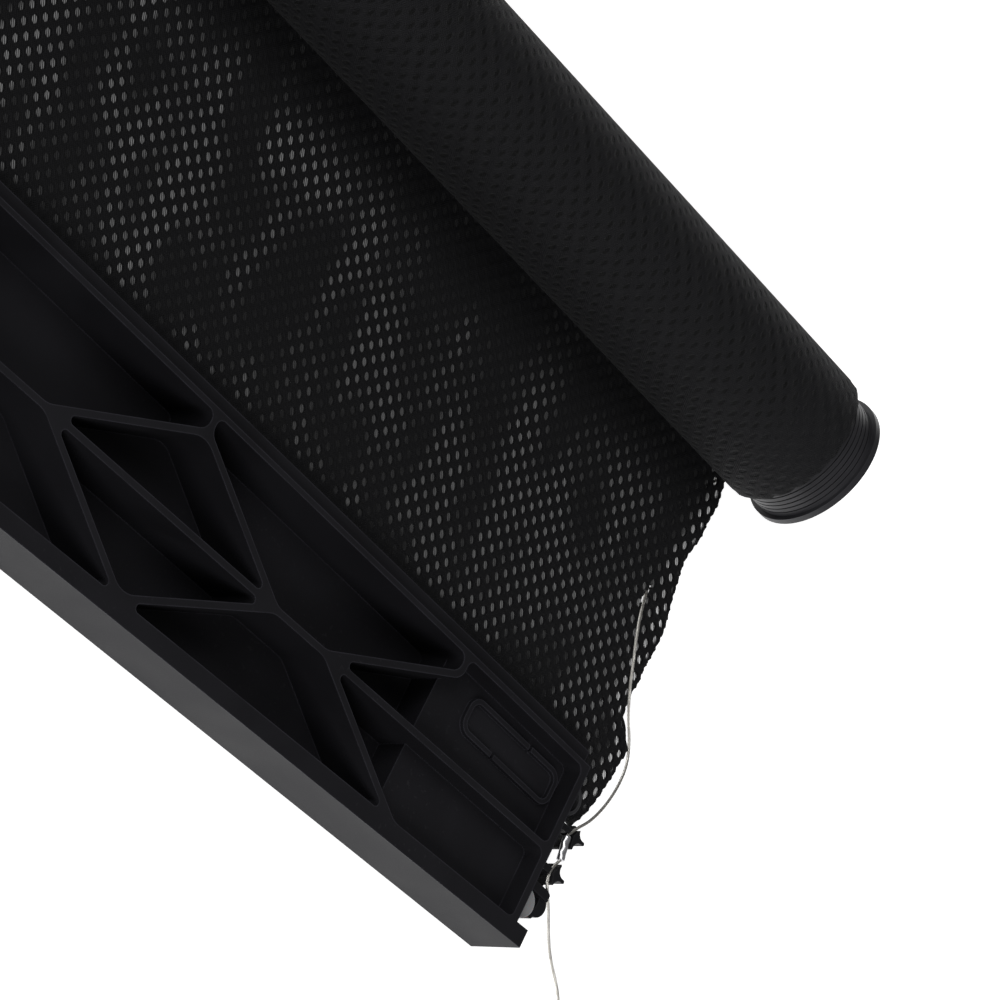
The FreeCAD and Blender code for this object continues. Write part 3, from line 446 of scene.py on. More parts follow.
def sheet_height(past_end, from_back, inward):
    """Middle of the sheet's thickness above the ground."""
    rise = (HEM_HEIGHT - LOW_HEIGHT) / (LIES_FLAT_FROM - HEM_SIDE)
    height = LOW_HEIGHT + max(0.0, LIES_FLAT_FROM - max(from_back, HEM_SIDE)) * rise
    slack = math.exp(-inward / SLACK_REACH) * (1 - smooth_step(from_back, 84, 94))
    slack *= smooth_step(from_back, 20, 34)
    height += LIFT * slack * (1 + math.sin(from_back * LIFT_WAVES + LIFT_START)) / 2
    if from_back < HEM_SIDE:
        droop = smooth_step(past_end, 1.0, 12.0)
        height -= DROOP * droop * (HEM_SIDE - from_back) ** 2
    return height


def hem_line(past_end):
    """Where the sheet ends at the bar: in the channel, and lower past the bar's end."""
    return HEM_SIDE - FLAP * smooth_step(past_end, 0.3, 7.4)


print("edge", [round(free_edge(y), 1) for y in range(0, 96, 12)])

# %% [markdown]
# Near the two ends the grid is fine, because that is where the cloth moves most.  The middle of
# the cover is straight, so a few wide steps are enough there.  The faces where the cable comes
# up are left out, so that it has a slit to come through, as it has between two rows of knitting.

# %% Build the sheet
ROWS = 190
FINE_STEP, FINE_TO = 0.5, 17.0
WIDE_STEP, WIDE_TO = 3.0, 60.0
MIDDLE_STEPS = 80
STRAIGHT_EDGE = 11.0     # past the bar's end, where the edge no longer counts
SLIT = (50.0, 56.6)
SLIT_HALF = 0.62


def end_steps():
    """How far inward from the free edge each line of the fine grid lies."""
    steps, inward = [], 0.0
    while inward < WIDE_TO:
        steps.append(inward)
        inward += FINE_STEP if inward < FINE_TO else WIDE_STEP
    return steps


def cable_beside(from_back):
    """How far past the bar's end the cable is where it comes up."""
    for (x0, y0, _), (x1, y1, _) in zip(RUN_POINTS, RUN_POINTS[1:]):
        if y1 <= from_back <= y0:
            return x1 + (x0 - x1) * (from_back - y1) / (y0 - y1)
    return 0.0


def sheet_spot(inward, share):
    """A point of the right half: inward from the free edge, and from the bar (0) to the roll (1)."""
    fade = 1 - smooth_step(inward, 4.0, 45.0)
    near = hem_line(free_edge(HEM_SIDE) * fade + STRAIGHT_EDGE * (1 - fade) - inward)
    from_back = near + (ROLL_SIDE - near) * share
    past_end = free_edge(from_back) * fade + STRAIGHT_EDGE * (1 - fade) - inward
    return past_end, from_back, sheet_height(past_end, from_back, inward)


def build_sheet():
    steps = end_steps()
    half_middle = BAR_END / MM + STRAIGHT_EDGE - steps[-1]
    columns = [(s, 1) for s in steps]
    for k in range(1, MIDDLE_STEPS):
        columns.append((steps[-1] + half_middle * 2 * k / MIDDLE_STEPS, 1))
    columns += [(s, -1) for s in reversed(steps)]
    vertices, faces = [], []
    for inward, side in columns:
        for r in range(ROWS + 1):
            past_end, from_back, height = sheet_spot(inward, r / ROWS)
            vertices.append(at(past_end, from_back, height, side))
    for c in range(len(columns) - 1):
        for r in range(ROWS):
            a = c * (ROWS + 1) + r
            b = a + ROWS + 1
            centre = (vertices[a] + vertices[b + 1]) / 2
            from_back = (centre.y - BACK_EDGE) / MM
            past_end = (abs(centre.x) - BAR_END) / MM
            in_slit = SLIT[0] < from_back < SLIT[1] and abs(past_end - cable_beside(from_back)) < SLIT_HALF
            if not in_slit:
                faces.append((a, b, b + 1, a + 1))
    return make_object("mesh_sheet", vertices, faces)


def thicken(piece, thickness):
    """Gives a surface its thickness for good."""
    shell = piece.modifiers.new("thickness", "SOLIDIFY")
    shell.thickness = thickness
    shell.offset = 0.0
    evaluated = piece.evaluated_get(bpy.context.evaluated_depsgraph_get())
    solid = bpy.data.meshes.new_from_object(evaluated)
    piece.modifiers.clear()
    old = piece.data
    piece.data = solid
    bpy.data.meshes.remove(old)
    piece.data.shade_smooth()


sheet_piece = build_sheet()
thicken(sheet_piece, MESH_THICK * MM)
print("sheet faces", len(sheet_piece.data.polygons))

# %% [markdown]
# The rest of the mesh is wound on the tube.  A plain ring would show flat, printed looking ends,
# so the roll is one long strip wound in a true spiral, each turn a little further out.  At both
# ends the cut edge of every turn stands out by its own small amount, with the lumps that the
# knitted loops leave there.

# %% Wind the roll
ROLL_OUT = 20.0 * MM
ROLL_IN = 14.0 * MM
WIND_PITCH = 0.93 * MM
WIND_THICK = 0.72
SEGMENTS = 84
STRIP_END = math.radians(112)      # the outer end of the strip is underneath
ROLL_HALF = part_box("fabric_roll")[1].x
END_SHORT = 0.75
END_LUMPS = [(0.22, 23, 1.0), (0.13, 41, 2.3), (0.16, 3, 1.7)]     # size, how many in a turn, shift
END_SHIFT = 1.9
FRAY_REACH = 1.2
CURL, CURL_WAVES = 0.22, 17


def lumps(angle, seed):
    """Loops at a cut edge, in millimetres."""
    return sum(size * math.sin(angle * count + seed * shift) for size, count, shift in END_LUMPS)


def build_roll():
    turns = (ROLL_OUT - ROLL_IN) / WIND_PITCH
    steps = int(turns * SEGMENTS)
    start_angle = STRIP_END - math.tau * steps / SEGMENTS
    ends = [0.0, 0.5, 1.0, 1.6, 2.4, 4.0, 8.0, 16.0, 40.0]
    columns = [(1, e) for e in ends] + [(0, 0)] + [(-1, e) for e in reversed(ends)]
    vertices, faces = [], []
    for k in range(steps + 1):
        angle = start_angle + math.tau * k / SEGMENTS
        radius = ROLL_IN + (ROLL_OUT - ROLL_IN) * k / steps
        for side, inward in columns:
            fray = lumps(angle, side * END_SHIFT) * math.exp(-inward / FRAY_REACH)
            x = side * (ROLL_HALF / MM - END_SHORT - inward + fray)
            curl = CURL * math.exp(-inward) * math.sin(angle * CURL_WAVES + side)
            reach = radius - max(0.0, curl) * MM
            y, z = AXIS_Y + reach * math.cos(angle), AXIS_Z - reach * math.sin(angle)
            vertices.append(Vector((x * MM, y, z)))
    width = len(columns)
    for k in range(steps):
        for c in range(width - 1):
            a = k * width + c
            faces.append((a, a + 1, a + width + 1, a + width))
    return make_object("mesh_roll", vertices, faces), turns


roll_piece, roll_turns = build_roll()
thicken(roll_piece, WIND_THICK * MM)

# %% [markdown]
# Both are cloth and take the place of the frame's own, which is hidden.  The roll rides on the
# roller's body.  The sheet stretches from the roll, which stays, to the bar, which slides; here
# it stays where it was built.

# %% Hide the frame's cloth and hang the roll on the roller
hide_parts("fabric_sheet")
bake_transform(sheet_piece)
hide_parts("fabric_roll")
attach(roll_piece, "roller")

# %% [markdown]
# Next come the finishes.  Several of them share an effect, and a shared effect is worth making
# once, as a node group with named sockets that every material fills in for itself.
# Two helpers keep the wiring short: one makes a group, the other adds a node and links or sets
# its inputs.

# %% Helpers for wiring nodes
def new_group(name, inputs, outputs):
    """An empty node group; sockets are (name, kind, default)."""
    group = bpy.data.node_groups.new(name, "ShaderNodeTree")
    for socket, kind, value in inputs:
        made = group.interface.new_socket(socket, in_out="INPUT", socket_type="NodeSocket" + kind)
        if value is not None:
            made.default_value = value
    for socket, kind in outputs:
        group.interface.new_socket(socket, in_out="OUTPUT", socket_type="NodeSocket" + kind)
    return group, group.nodes.new("NodeGroupInput").outputs, group.nodes.new("NodeGroupOutput").inputs


def put(tree, kind, settings=None, **inputs):
    """A node with its settings; an input is given by its name or, as i0, by its number."""
    node = tree.nodes.new("ShaderNode" + kind)
    for key, value in (settings or {}).items():
        setattr(node, key, value)
    for key, value in inputs.items():
        plain = key[1:].isdigit() and key[0] == "i"
        socket = node.inputs[int(key[1:])] if plain else node.inputs[key.replace("_", " ")]
        if isinstance(value, bpy.types.NodeSocket):
            tree.links.new(value, socket)
        else:
            socket.default_value = value
    return node


def sum_of(tree, operation, *values):
    """One Math node, its result."""
    inputs = {"i" + str(k): v for k, v in enumerate(values)}
    return put(tree, "Math", {"operation": operation}, **inputs).outputs[0]


def faded(tree, value, low, high, out_low=0.0, out_high=1.0):
    """The value moved smoothly from one range to another."""
    node = put(tree, "MapRange", {"interpolation_type": "SMOOTHSTEP"}, Value=value)
    for key, number in (("From Min", low), ("From Max", high), ("To Min", out_low), ("To Max", out_high)):
        node.inputs[key].default_value = number
    return node.outputs[0]


print("helpers ready")

# %% [markdown]
# Moulded plastic has a spark-eroded skin: a fine even grain from the mould, and a slow, faint
# change of tone where the melt flowed.  One group gives both, as a height and as a tone.

# %% Moulded skin
skin_group, given, wanted = new_group(
    "moulded_skin",
    [("Place", "Vector", None), ("Grain Size", "Float", 2500.0), ("Flow Size", "Float", 25.0)],
    [("Height", "Float"), ("Tone", "Float")])
grain = put(skin_group, "TexNoise", Vector=given["Place"], Scale=given["Grain Size"], Detail=3.0,
            Roughness=0.6)
pits = put(skin_group, "TexVoronoi", Vector=given["Place"], Scale=given["Grain Size"])
flow = put(skin_group, "TexNoise", Vector=given["Place"], Scale=given["Flow Size"], Detail=4.0,
           Distortion=0.6)
height = sum_of(skin_group, "MULTIPLY_ADD", pits.outputs["Distance"], 0.5, grain.outputs["Fac"])
skin_group.links.new(height, wanted["Height"])
skin_group.links.new(faded(skin_group, flow.outputs["Fac"], 0.3, 0.7), wanted["Tone"])
print(skin_group.name)

# %% [markdown]
# Handled plastic and metal turn lighter and shinier along their edges.  The Bevel node looks a
# short way round each point and gives the normal a rounded edge would have.  Where that differs
# from the true normal there is an edge, and noise breaks the mask up so that it looks worn
# rather than drawn.

# %% Edge wear
wear_group, given, wanted = new_group(
    "edge_wear",
    [("Place", "Vector", None), ("Reach", "Float", 0.0006), ("Breakup Size", "Float", 180.0)],
    [("Wear", "Float")])
rounded = put(wear_group, "Bevel", {"samples": 6}, Radius=given["Reach"])
true_normal = put(wear_group, "NewGeometry")
facing = put(wear_group, "VectorMath", {"operation": "DOT_PRODUCT"}, i0=rounded.outputs[0],
             i1=true_normal.outputs["True Normal"])
edge = faded(wear_group, facing.outputs["Value"], 0.995, 0.86)
patchy = put(wear_group, "TexNoise", Vector=given["Place"], Scale=given["Breakup Size"], Detail=3.0)
worn = sum_of(wear_group, "MULTIPLY", edge, faded(wear_group, patchy.outputs["Fac"], 0.3, 0.6, 0.45, 1.0))
wear_group.links.new(worn, wanted["Wear"])
print(wear_group.name)

# %% [markdown]
# A little dust settles on whatever faces up.  The normal's height says where that is, and two
# sizes of noise make specks and faint drifts of it.

# %% Settled dust
dust_group, given, wanted = new_group(
    "settled_dust", [("Place", "Vector", None), ("Speck Size", "Float", 900.0)], [("Dust", "Float")])
normal_now = put(dust_group, "NewGeometry")
up = put(dust_group, "SeparateXYZ", Vector=normal_now.outputs["Normal"])
specks = put(dust_group, "TexNoise", Vector=given["Place"], Scale=given["Speck Size"], Detail=2.0)
drift = put(dust_group, "TexNoise", Vector=given["Place"], Scale=14.0, Detail=3.0)
amount = sum_of(dust_group, "MULTIPLY", faded(dust_group, specks.outputs["Fac"], 0.62, 0.75),
                faded(dust_group, drift.outputs["Fac"], 0.4, 0.7))
dust_group.links.new(sum_of(dust_group, "MULTIPLY", amount, faded(dust_group, up.outputs["Z"], 0.3, 0.9)),
                     wanted["Dust"])
print(dust_group.name)

# %% [markdown]
# Every hard black or pale plastic here is the same recipe with other numbers: a base colour that
# the flow tone varies, lighter edges, dust, and the grain as bump.  The recipe is a function, so
# the numbers stand side by side.  Anything that is the same all over stays on the shader itself.

# %% Plastics
def new_material(name):
    material = bpy.data.materials.new(name)
    material.use_nodes = True
    tree = material.node_tree
    tree.nodes.clear()
    shader = tree.nodes.new("ShaderNodeBsdfPrincipled")
    ending = tree.nodes.new("ShaderNodeOutputMaterial")
    tree.links.new(shader.outputs[0], ending.inputs["Surface"])
    place = tree.nodes.new("ShaderNodeTexCoord").outputs["Object"]
    return material, tree, shader, place


def use_group(tree, group, **inputs):
    node = put(tree, "Group", {"node_tree": group}, **inputs)
    return node.outputs


def blend_colours(tree, share, first, second):
    node = put(tree, "Mix", {"data_type": "RGBA"}, i0=share, i6=first, i7=second)
    return node.outputs[2]


def plastic(name, dark, light, worn, rough, grain_height, grain_size=2500.0, dust=0.3, reach=0.0006):
    """A moulded plastic: two tones, the colour of its edges, and how rough and grainy it is."""
    material, tree, shader, place = new_material(name)
    skin = use_group(tree, skin_group, Place=place, Grain_Size=grain_size)
    wear = use_group(tree, wear_group, Place=place, Reach=reach)["Wear"]
    specks = use_group(tree, dust_group, Place=place)["Dust"]
    body = blend_colours(tree, skin["Tone"], (*dark, 1), (*light, 1))
    body = blend_colours(tree, wear, body, (*worn, 1))
    body = blend_colours(tree, sum_of(tree, "MULTIPLY", specks, dust), body, (0.22, 0.22, 0.23, 1))
    tree.links.new(body, shader.inputs["Base Color"])
    roughness = sum_of(tree, "MULTIPLY_ADD", skin["Tone"], 0.09, rough - 0.045)
    roughness = sum_of(tree, "MULTIPLY_ADD", wear, -0.08, roughness)
    tree.links.new(roughness, shader.inputs["Roughness"])
    bump = put(tree, "Bump", Strength=1.0, Distance=grain_height, Height=skin["Height"])
    tree.links.new(bump.outputs[0], shader.inputs["Normal"])
    return material, shader


bar_black, bar_shader = plastic("bar_black", (0.0075, 0.0072, 0.0088), (0.0105, 0.0102, 0.0125),
                                (0.03, 0.0292, 0.036), 0.56, 0.00002, dust=0.04)
bar_shader.inputs["Specular IOR Level"].default_value = 0.22
shoe_black, shoe_shader = plastic("shoe_black", (0.005, 0.005, 0.006), (0.008, 0.008, 0.0095),
                                  (0.02, 0.02, 0.023), 0.42, 0.000012, dust=0.04)
shoe_shader.inputs["Specular IOR Level"].default_value = 0.32
leaf_grey, _ = plastic("leaf_grey", (0.02, 0.02, 0.022), (0.03, 0.03, 0.033), (0.06, 0.06, 0.065), 0.42,
                       0.00001, dust=0.0)
pale_nylon, pale_shader = plastic("pale_nylon", (0.2, 0.2, 0.205), (0.26, 0.26, 0.265), (0.34, 0.34, 0.35),
                                  0.42, 0.00001, dust=0.0)
pale_shader.inputs["Subsurface Weight"].default_value = 0.12
pale_shader.inputs["Subsurface Scale"].default_value = 0.001
bush_nylon, _ = plastic("bush_nylon", (0.5, 0.47, 0.38), (0.58, 0.55, 0.46), (0.66, 0.63, 0.54), 0.4,
                        0.00001, dust=0.0)
rod_black, _ = plastic("rod_black", (0.012, 0.012, 0.013), (0.02, 0.02, 0.021), (0.03, 0.03, 0.03),
                       0.5, 0.00001)
print("plastics", [m.name for m in (bar_black, shoe_black, leaf_grey, pale_nylon, bush_nylon, rod_black)])

# %% [markdown]
# The drum is charcoal plastic.  Its grooves are painted near black as painted shade, while the
# lands between them keep the plain tone.  The distance from the axis tells one from the
# other, and nothing else on the drum needs to know where it is.

# %% Drum
GROOVE_R, LAND_R = 0.01735, 0.01756
drum_grey, tree, shader, place = new_material("drum_grey")
skin = use_group(tree, skin_group, Place=place, Grain_Size=2200.0, Flow_Size=60.0)
wear = use_group(tree, wear_group, Place=place, Reach=0.0003)["Wear"]
from_axis = put(tree, "VectorMath", {"operation": "SUBTRACT"}, i0=place, i1=(0.0, AXIS_Y, AXIS_Z))
flat_way = put(tree, "VectorMath", {"operation": "MULTIPLY"}, i0=from_axis.outputs[0], i1=(0.0, 1.0, 1.0))
radius = put(tree, "VectorMath", {"operation": "LENGTH"}, i0=flat_way.outputs[0]).outputs["Value"]
land = faded(tree, radius, GROOVE_R, LAND_R)
tone = blend_colours(tree, skin["Tone"], (0.017, 0.0167, 0.019, 1), (0.025, 0.0245, 0.028, 1))
# The grooves get painted shade: near black inside the lands' radius.
tone = blend_colours(tree, land, (0.004, 0.004, 0.0045, 1), tone)
tone = blend_colours(tree, sum_of(tree, "MULTIPLY", wear, 0.5), tone, (0.05, 0.05, 0.055, 1))
shader.inputs["Specular IOR Level"].default_value = 0.4
tree.links.new(tone, shader.inputs["Base Color"])
tree.links.new(sum_of(tree, "MULTIPLY_ADD", skin["Tone"], 0.1, 0.36), shader.inputs["Roughness"])
bump = put(tree, "Bump", Strength=1.0, Distance=0.00001, Height=skin["Height"])
tree.links.new(bump.outputs[0], shader.inputs["Normal"])
print(drum_grey.name)

# %% [markdown]
# Turned and drawn metal carries fine lines along or round its axis.  Stretching noise across the
# X axis, along which every shaft here lies, gives those lines, and the same group serves steel
# and aluminium.

# %% Drawn metal
lines_group, given, wanted = new_group(
    "drawn_lines",
    [("Place", "Vector", None), ("Fineness", "Float", 4000.0), ("Stretch", "Vector", (1.0, 0.02, 0.02))],
    [("Height", "Float"), ("Tone", "Float")])
stretched = put(lines_group, "VectorMath", {"operation": "MULTIPLY"}, i0=given["Place"], i1=given["Stretch"])
lines = put(lines_group, "TexNoise", Vector=stretched.outputs[0], Scale=given["Fineness"], Detail=2.0)
tarnish = put(lines_group, "TexNoise", Vector=given["Place"], Scale=160.0, Detail=4.0, Distortion=1.0)
lines_group.links.new(lines.outputs["Fac"], wanted["Height"])
lines_group.links.new(faded(lines_group, tarnish.outputs["Fac"], 0.35, 0.7), wanted["Tone"])


def metal(name, clean, dull, rough, fineness, stretch, depth):
    material, tree, shader, place = new_material(name)
    shader.inputs["Metallic"].default_value = 1.0
    marks = use_group(tree, lines_group, Place=place, Fineness=fineness, Stretch=stretch)
    tree.links.new(blend_colours(tree, marks["Tone"], (*clean, 1), (*dull, 1)), shader.inputs["Base Color"])
    roughness = sum_of(tree, "MULTIPLY_ADD", marks["Height"], 0.2, rough - 0.1)
    tree.links.new(sum_of(tree, "MULTIPLY_ADD", marks["Tone"], 0.12, roughness), shader.inputs["Roughness"])
    bump = put(tree, "Bump", Strength=1.0, Distance=depth, Height=marks["Height"])
    tree.links.new(bump.outputs[0], shader.inputs["Normal"])
    return material


shaft_steel = metal("shaft_steel", (0.56, 0.56, 0.57), (0.4, 0.39, 0.38),
                    0.3, 5000.0, (1.0, 0.02, 0.02), 0.000006)
wire_steel = metal("wire_steel", (0.86, 0.84, 0.79), (0.66, 0.64, 0.6),
                   0.34, 6000.0, (1.0, 1.0, 1.0), 0.000004)
sleeve_metal = metal("sleeve_metal", (0.84, 0.84, 0.86), (0.66, 0.66, 0.69),
                     0.3, 3000.0, (1.0, 0.2, 1.0), 0.00001)
tube_metal = metal("tube_metal", (0.68, 0.68, 0.69), (0.55, 0.55, 0.56),
                   0.36, 3500.0, (0.01, 1.0, 1.0), 0.000006)
print("metals ready")

# %% [markdown]
# The knit is one group for the sheet and for the roll.  It is given a place on the cloth: how
# far along the roller, and how far along the way the cloth is drawn.  It lays out two sets of
# oval holes, the second in the middle of the first, crosses them with fine slanting threads,
# and raises small loops on the cloth between them.  It answers with masks and a height only.

# %% Spacer knit
knit_group, given, wanted = new_group(
    "spacer_knit",
    [("Along", "Float", 0.0), ("Drawn", "Float", 0.0), ("Hole Length", "Float", 0.95),
     ("Hole Width", "Float", 1.25), ("Sway", "Float", 0.25)],
    [("Hole", "Float"), ("Thread", "Float"), ("Height", "Float"), ("Yarn", "Float")])
CELL_ALONG, CELL_DRAWN = 4.46, 4.92     # millimetres from hole to hole of one set
THREAD_STEP, OTHER_STEP, LOOP_STEP = 0.56, 0.62, 0.7
THREAD_SLANT, OTHER_SLANT = 0.45, -0.8
tree = knit_group
raw = put(tree, "CombineXYZ", X=given["Along"], Y=given["Drawn"])
sway = put(tree, "TexNoise", Vector=raw.outputs[0], Scale=220.0, Detail=2.0)
shift = put(tree, "VectorMath", {"operation": "SUBTRACT"}, i0=sway.outputs["Color"], i1=(0.5, 0.5, 0.5))
shift = put(tree, "VectorMath", {"operation": "SCALE"}, i0=shift.outputs[0], Scale=given["Sway"])
in_mm = put(tree, "VectorMath", {"operation": "SCALE"}, i0=raw.outputs[0], Scale=1000.0)
spot = put(tree, "SeparateXYZ", Vector=put(tree, "VectorMath", {"operation": "ADD"}, i0=in_mm.outputs[0],
                                           i1=shift.outputs[0]).outputs[0]).outputs


def hole_distance(offset):
    """Distance from the nearest hole of one set, 1 at its rim."""
    squares = []
    for along, cell, size in (("X", CELL_ALONG, "Hole Length"), ("Y", CELL_DRAWN, "Hole Width")):
        moved = sum_of(tree, "ADD", spot[along], offset * cell)
        in_cell = sum_of(tree, "SUBTRACT", sum_of(tree, "WRAP", moved, cell, 0.0), cell / 2)
        share = sum_of(tree, "DIVIDE", in_cell, given[size])
        squares.append(sum_of(tree, "MULTIPLY", share, share))
    return sum_of(tree, "SQRT", sum_of(tree, "ADD", *squares))


def waves(place, step):
    """A sine wave along a place, one wave to each step."""
    return sum_of(tree, "SINE", sum_of(tree, "MULTIPLY", place, math.tau / step))


nearest = sum_of(tree, "MINIMUM", hole_distance(0.0), hole_distance(0.5))
thread = waves(sum_of(tree, "MULTIPLY_ADD", spot["Y"], THREAD_SLANT, spot["X"]), THREAD_STEP)
other = waves(sum_of(tree, "MULTIPLY_ADD", spot["Y"], OTHER_SLANT, spot["X"]), OTHER_STEP)
loops = sum_of(tree, "MULTIPLY", waves(spot["X"], THREAD_STEP), waves(spot["Y"], LOOP_STEP))
fuzz = put(tree, "TexNoise", Vector=in_mm.outputs[0], Scale=4.0, Detail=4.0, Roughness=0.7)
hole = faded(tree, nearest, 1.12, 0.88)
tree.links.new(hole, wanted["Hole"])
tree.links.new(faded(tree, thread, -0.1, 0.5), wanted["Thread"])
swell = faded(tree, nearest, 0.6, 1.7)
height = sum_of(tree, "MULTIPLY_ADD", loops, 0.12, swell)
height = sum_of(tree, "MULTIPLY_ADD", other, 0.07, height)
height = sum_of(tree, "MULTIPLY_ADD", thread, 0.09, height)
height = sum_of(tree, "MULTIPLY_ADD", fuzz.outputs["Fac"], 0.3, height)
tree.links.new(height, wanted["Height"])
yarn = sum_of(tree, "MULTIPLY_ADD", loops, 0.16, fuzz.outputs["Fac"])
tree.links.new(sum_of(tree, "MULTIPLY_ADD", thread, 0.14, yarn), wanted["Yarn"])
print(knit_group.name)

# %% [markdown]
# On the drawn-out sheet the holes are real: light comes through them, except where a thread
# crosses.  Alpha does that, and it follows the cloth when the bar is pulled out, because it is
# laid out by place on the cloth.  Inside the cables the holes carry painted shade: they are
# mostly shut, in patches stretched along the drawn way, so the dark knit stands in for the
# shade under the sheet.  On the slack strip outside the cable the holes stand wide open.  A
# number on every point of the mesh says how open the cloth is there, down to 0 at the free edge
# and at the channel; it carries the painted shade too.  Beside the roll the holes are painted
# nearly shut, as the roll's shade.

# %% Mesh of the sheet
def knit_colours(tree, shader, knit, dark, light, depth):
    tone = blend_colours(tree, faded(tree, knit["Yarn"], 0.25, 0.8), dark, light)
    tree.links.new(tone, shader.inputs["Base Color"])
    tree.links.new(faded(tree, knit["Yarn"], 0.2, 0.8, 0.62, 0.85), shader.inputs["Roughness"])
    bump = put(tree, "Bump", Strength=1.0, Distance=depth, Height=knit["Height"])
    tree.links.new(bump.outputs[0], shader.inputs["Normal"])
    shader.inputs["Sheen Weight"].default_value = 0.03
    shader.inputs["Sheen Roughness"].default_value = 0.4
    shader.inputs["Specular IOR Level"].default_value = 0.2


INSIDE_OPEN = 0.9        # on the mesh: the number that stands for the inside of the sheet
LOOSE_OPEN = 0.96        # how clear a hole of the slack strip is
# How far the holes beside the roll are painted shut: painted shade of the roll.
ROLL_SHADE_CLOSING = 0.75
THREAD_COVER = 0.85
open_mesh, tree, shader, place = new_material("open_mesh")
spread = put(tree, "SeparateXYZ", Vector=place).outputs
knit = use_group(tree, knit_group, Along=spread["X"], Drawn=spread["Y"])
knit_colours(tree, shader, knit, (0.002, 0.002, 0.0024, 1), (0.0062, 0.0062, 0.0072, 1), 0.00018)
openness_and_shade = put(tree, "Attribute", {"attribute_name": "openness_and_shade"}).outputs["Fac"]
drawn_long = put(tree, "VectorMath", {"operation": "MULTIPLY"}, i0=place, i1=(1.0, 0.35, 1.0)).outputs[0]
# Inside the cables the holes are painted mostly shut, in patches: painted shade under the sheet.
shade_patches = put(tree, "TexNoise", Vector=drawn_long, Scale=75.0, Detail=1.0).outputs["Fac"]
crossed = sum_of(tree, "MULTIPLY_ADD", knit["Thread"], -THREAD_COVER, 1.0)
clear = sum_of(tree, "MULTIPLY", knit["Hole"], crossed)
inner = sum_of(tree, "MULTIPLY", faded(tree, shade_patches, 0.38, 0.62, 0.14, 0.62), openness_and_shade)
loose = faded(tree, openness_and_shade, INSIDE_OPEN, 1.0)
share = put(tree, "Mix", i0=loose, i2=inner, i3=LOOSE_OPEN).outputs[0]
clear = sum_of(tree, "MULTIPLY", clear, share)
tree.links.new(sum_of(tree, "SUBTRACT", 1.0, clear), shader.inputs["Alpha"])


def open_share(past_end, from_back):
    """0 where the knit is closed, INSIDE_OPEN inside (painted shade, in the material), 1 on the slack strip
    outside the cable, and lower beside the roll as painted shade.
    """
    to_edge = free_edge(from_back) - past_end
    share = 1 - (1 - INSIDE_OPEN) * smooth_step(to_edge, 3.0, 6.5)
    share *= smooth_step(to_edge, 0.35, 0.7) * smooth_step(from_back - hem_line(past_end), 4.2, 6.4)
    # Beside the roll the holes are painted shut: painted shade of the roll.
    roll_shade = smooth_step(from_back, 70.0, 86.0) * smooth_step(to_edge, 3.0, 7.0)
    return share * (1 - ROLL_SHADE_CLOSING * roll_shade)


band = sheet_piece.data.attributes.new("openness_and_shade", "FLOAT", "POINT")
for vertex, value in zip(sheet_piece.data.vertices, band.data):
    past_end = (abs(vertex.co.x) - BAR_END) / MM
    value.value = open_share(past_end, (vertex.co.y - BACK_EDGE) / MM)
print(open_mesh.name)

# %% [markdown]
# On the roll the next turn lies right behind, so a hole is only a dimple, painted darker than
# the knit as painted shade.  The cloth's place is the angle round the axis, measured in whole
# cells, so that the rows of holes meet where the angle starts anew.  Near the ends the dimples
# fade into the plain knitted border.

# %% Mesh of the roll
CELLS_ROUND = 26
BORDER = (0.016, 0.002)      # metres short of the bar's end
wound_mesh, tree, shader, place = new_material("wound_mesh")
from_axis = put(tree, "VectorMath", {"operation": "SUBTRACT"}, i0=place, i1=(0.0, AXIS_Y, AXIS_Z))
spread = put(tree, "SeparateXYZ", Vector=from_axis.outputs[0]).outputs
angle = sum_of(tree, "ARCTAN2", spread["Z"], spread["Y"])
around = sum_of(tree, "MULTIPLY", angle, CELL_DRAWN * CELLS_ROUND * MM / math.tau)
knit = use_group(tree, knit_group, Along=spread["X"], Drawn=around, Hole_Length=0.55, Hole_Width=1.0)
knit_colours(tree, shader, knit, (0.002, 0.002, 0.0024, 1), (0.0115, 0.0115, 0.0135, 1), 0.0004)
border = faded(tree, sum_of(tree, "ABSOLUTE", spread["X"]), BAR_END - BORDER[0], BAR_END - BORDER[1])
# The roll's holes are painted near black: painted shade in the dimples.
dimple_shade = sum_of(tree, "MULTIPLY", knit["Hole"], sum_of(tree, "SUBTRACT", 1.0, border))
old = shader.inputs["Base Color"].links[0].from_socket
tree.links.new(blend_colours(tree, dimple_shade, old, (0.0012, 0.0012, 0.0014, 1)), shader.inputs["Base Color"])
print(wound_mesh.name)

# %% [markdown]
# Each node and each piece now gets its finish.  The table reads as a maker's list, one finish to
# a line.

# %% Put the finishes on
def dress(material, *pieces):
    for piece in pieces:
        piece = NODES[piece] if isinstance(piece, str) else piece
        if not piece.data.materials:
            piece.data.materials.append(material)
        for index in range(len(piece.data.materials)):
            piece.data.materials[index] = material


def both(name):
    return [name + "_right", name + "_left"]


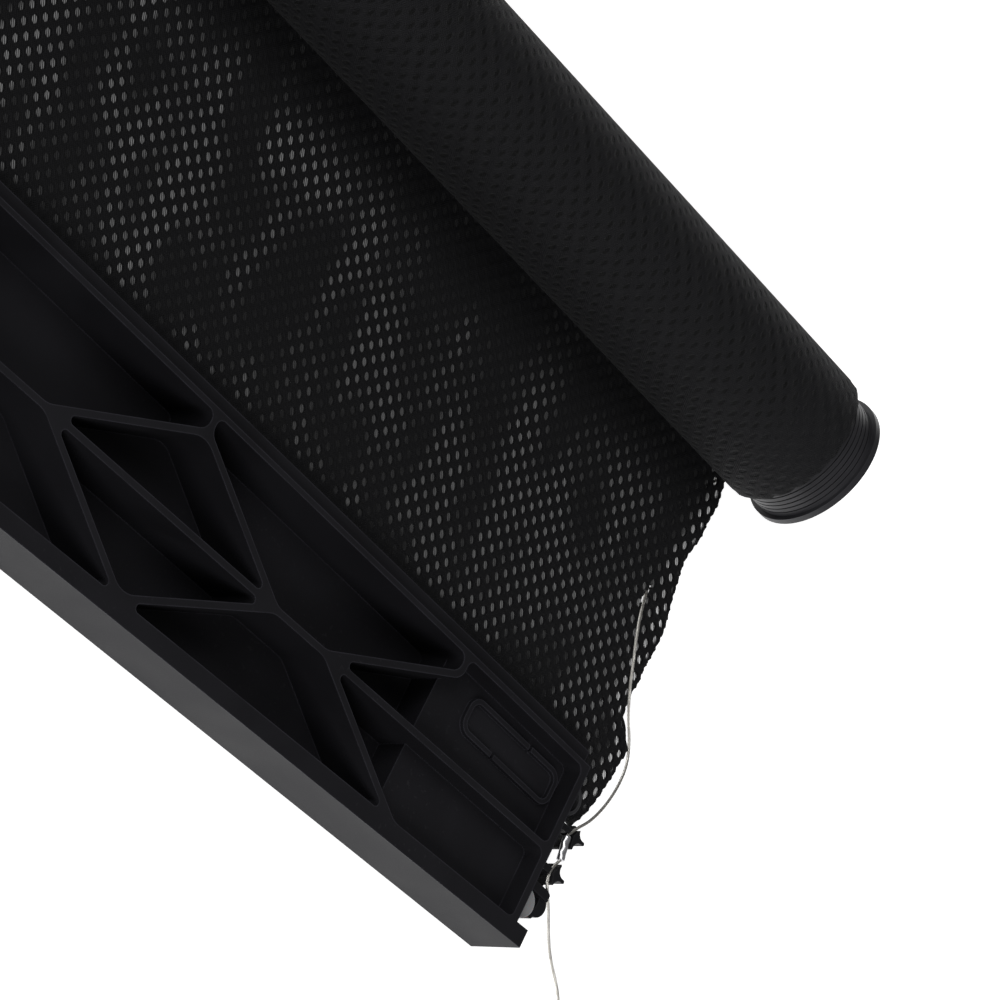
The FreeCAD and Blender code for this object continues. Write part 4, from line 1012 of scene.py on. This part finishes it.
dress(bar_black, "bar_shell")
dress(shoe_black, *both("end_shoe"))
dress(leaf_grey, *both("leaf_fin"))
dress(pale_nylon, *both("slide_pad"))
dress(drum_grey, *both("cable_drum"), "drum_nipples")
dress(bush_nylon, *both("bearing_bush"), "spring_driver")
dress(rod_black, "hem_rod", "tube_keder", *tie_pieces.values())
dress(tube_metal, "roller_tube")
dress(shaft_steel, "axle", "roller_spring", "spring_anchor", "thrust_washers", "retaining_clips",
      "shoe_screws", "drum_screws", *nipple_pieces.values())
dress(wire_steel, *run_pieces.values(), *tail_pieces.values())
dress(sleeve_metal, *sleeve_pieces.values())
dress(open_mesh, sheet_piece)
dress(wound_mesh, roll_piece)
print("dressed", len(NODES), "nodes")

# %% [markdown]
# The cover lies on a plain white table in a dim white room.  Black plastic shows mostly what it
# reflects: the upright front of the bar mirrors the bright table, and the tops mirror the dimmer
# room above.  So the table is kept brighter than the room.  It gives off some light of its own,
# like a light table, which also shows the holes of the mesh.  Large soft lamps stand to the left
# and in front, away from where the tops would mirror them.

# %% Table and light
TABLE = 6.0
TABLE_BELOW = 0.0002
corners = [(-TABLE, -TABLE, 0), (TABLE, -TABLE, 0), (TABLE, TABLE, 0), (-TABLE, TABLE, 0)]
table_top = make_object("table_top", corners, [(0, 1, 2, 3)], smooth=False)
table_top.location.z = -TABLE_BELOW
white, tree, shader, place = new_material("white_table")
faint = put(tree, "TexNoise", Vector=place, Scale=3.0, Detail=2.0)
tree.links.new(blend_colours(tree, faint.outputs["Fac"], (0.9, 0.9, 0.9, 1), (0.94, 0.94, 0.94, 1)),
               shader.inputs["Base Color"])
shader.inputs["Roughness"].default_value = 0.8
shader.inputs["Emission Color"].default_value = (1, 1, 1, 1)
shader.inputs["Emission Strength"].default_value = 0.72
dress(white, table_top)

world = bpy.data.worlds.new("room")
bpy.context.scene.world = world
world.use_nodes = True
background = world.node_tree.nodes["Background"]
background.inputs["Color"].default_value = (1.0, 1.0, 1.02, 1)
background.inputs["Strength"].default_value = 0.12


def softbox(name, place, target, size, watts):
    lamp = bpy.data.lights.new(name, "AREA")
    lamp.shape = "RECTANGLE"
    lamp.size, lamp.size_y = size
    lamp.energy = watts
    holder = bpy.data.objects.new(name, lamp)
    holder.location = place
    holder.rotation_euler = (Vector(target) - Vector(place)).to_track_quat("-Z", "Y").to_euler()
    bpy.context.scene.collection.objects.link(holder)


LOOK_AT = (BAR_END, 0.0, 0.0)
softbox("front_softbox", (0.2, -1.7, 1.3), LOOK_AT, (1.6, 1.0), 24)
softbox("left_softbox", (-1.3, 0.3, 1.7), LOOK_AT, (1.4, 1.4), 26)
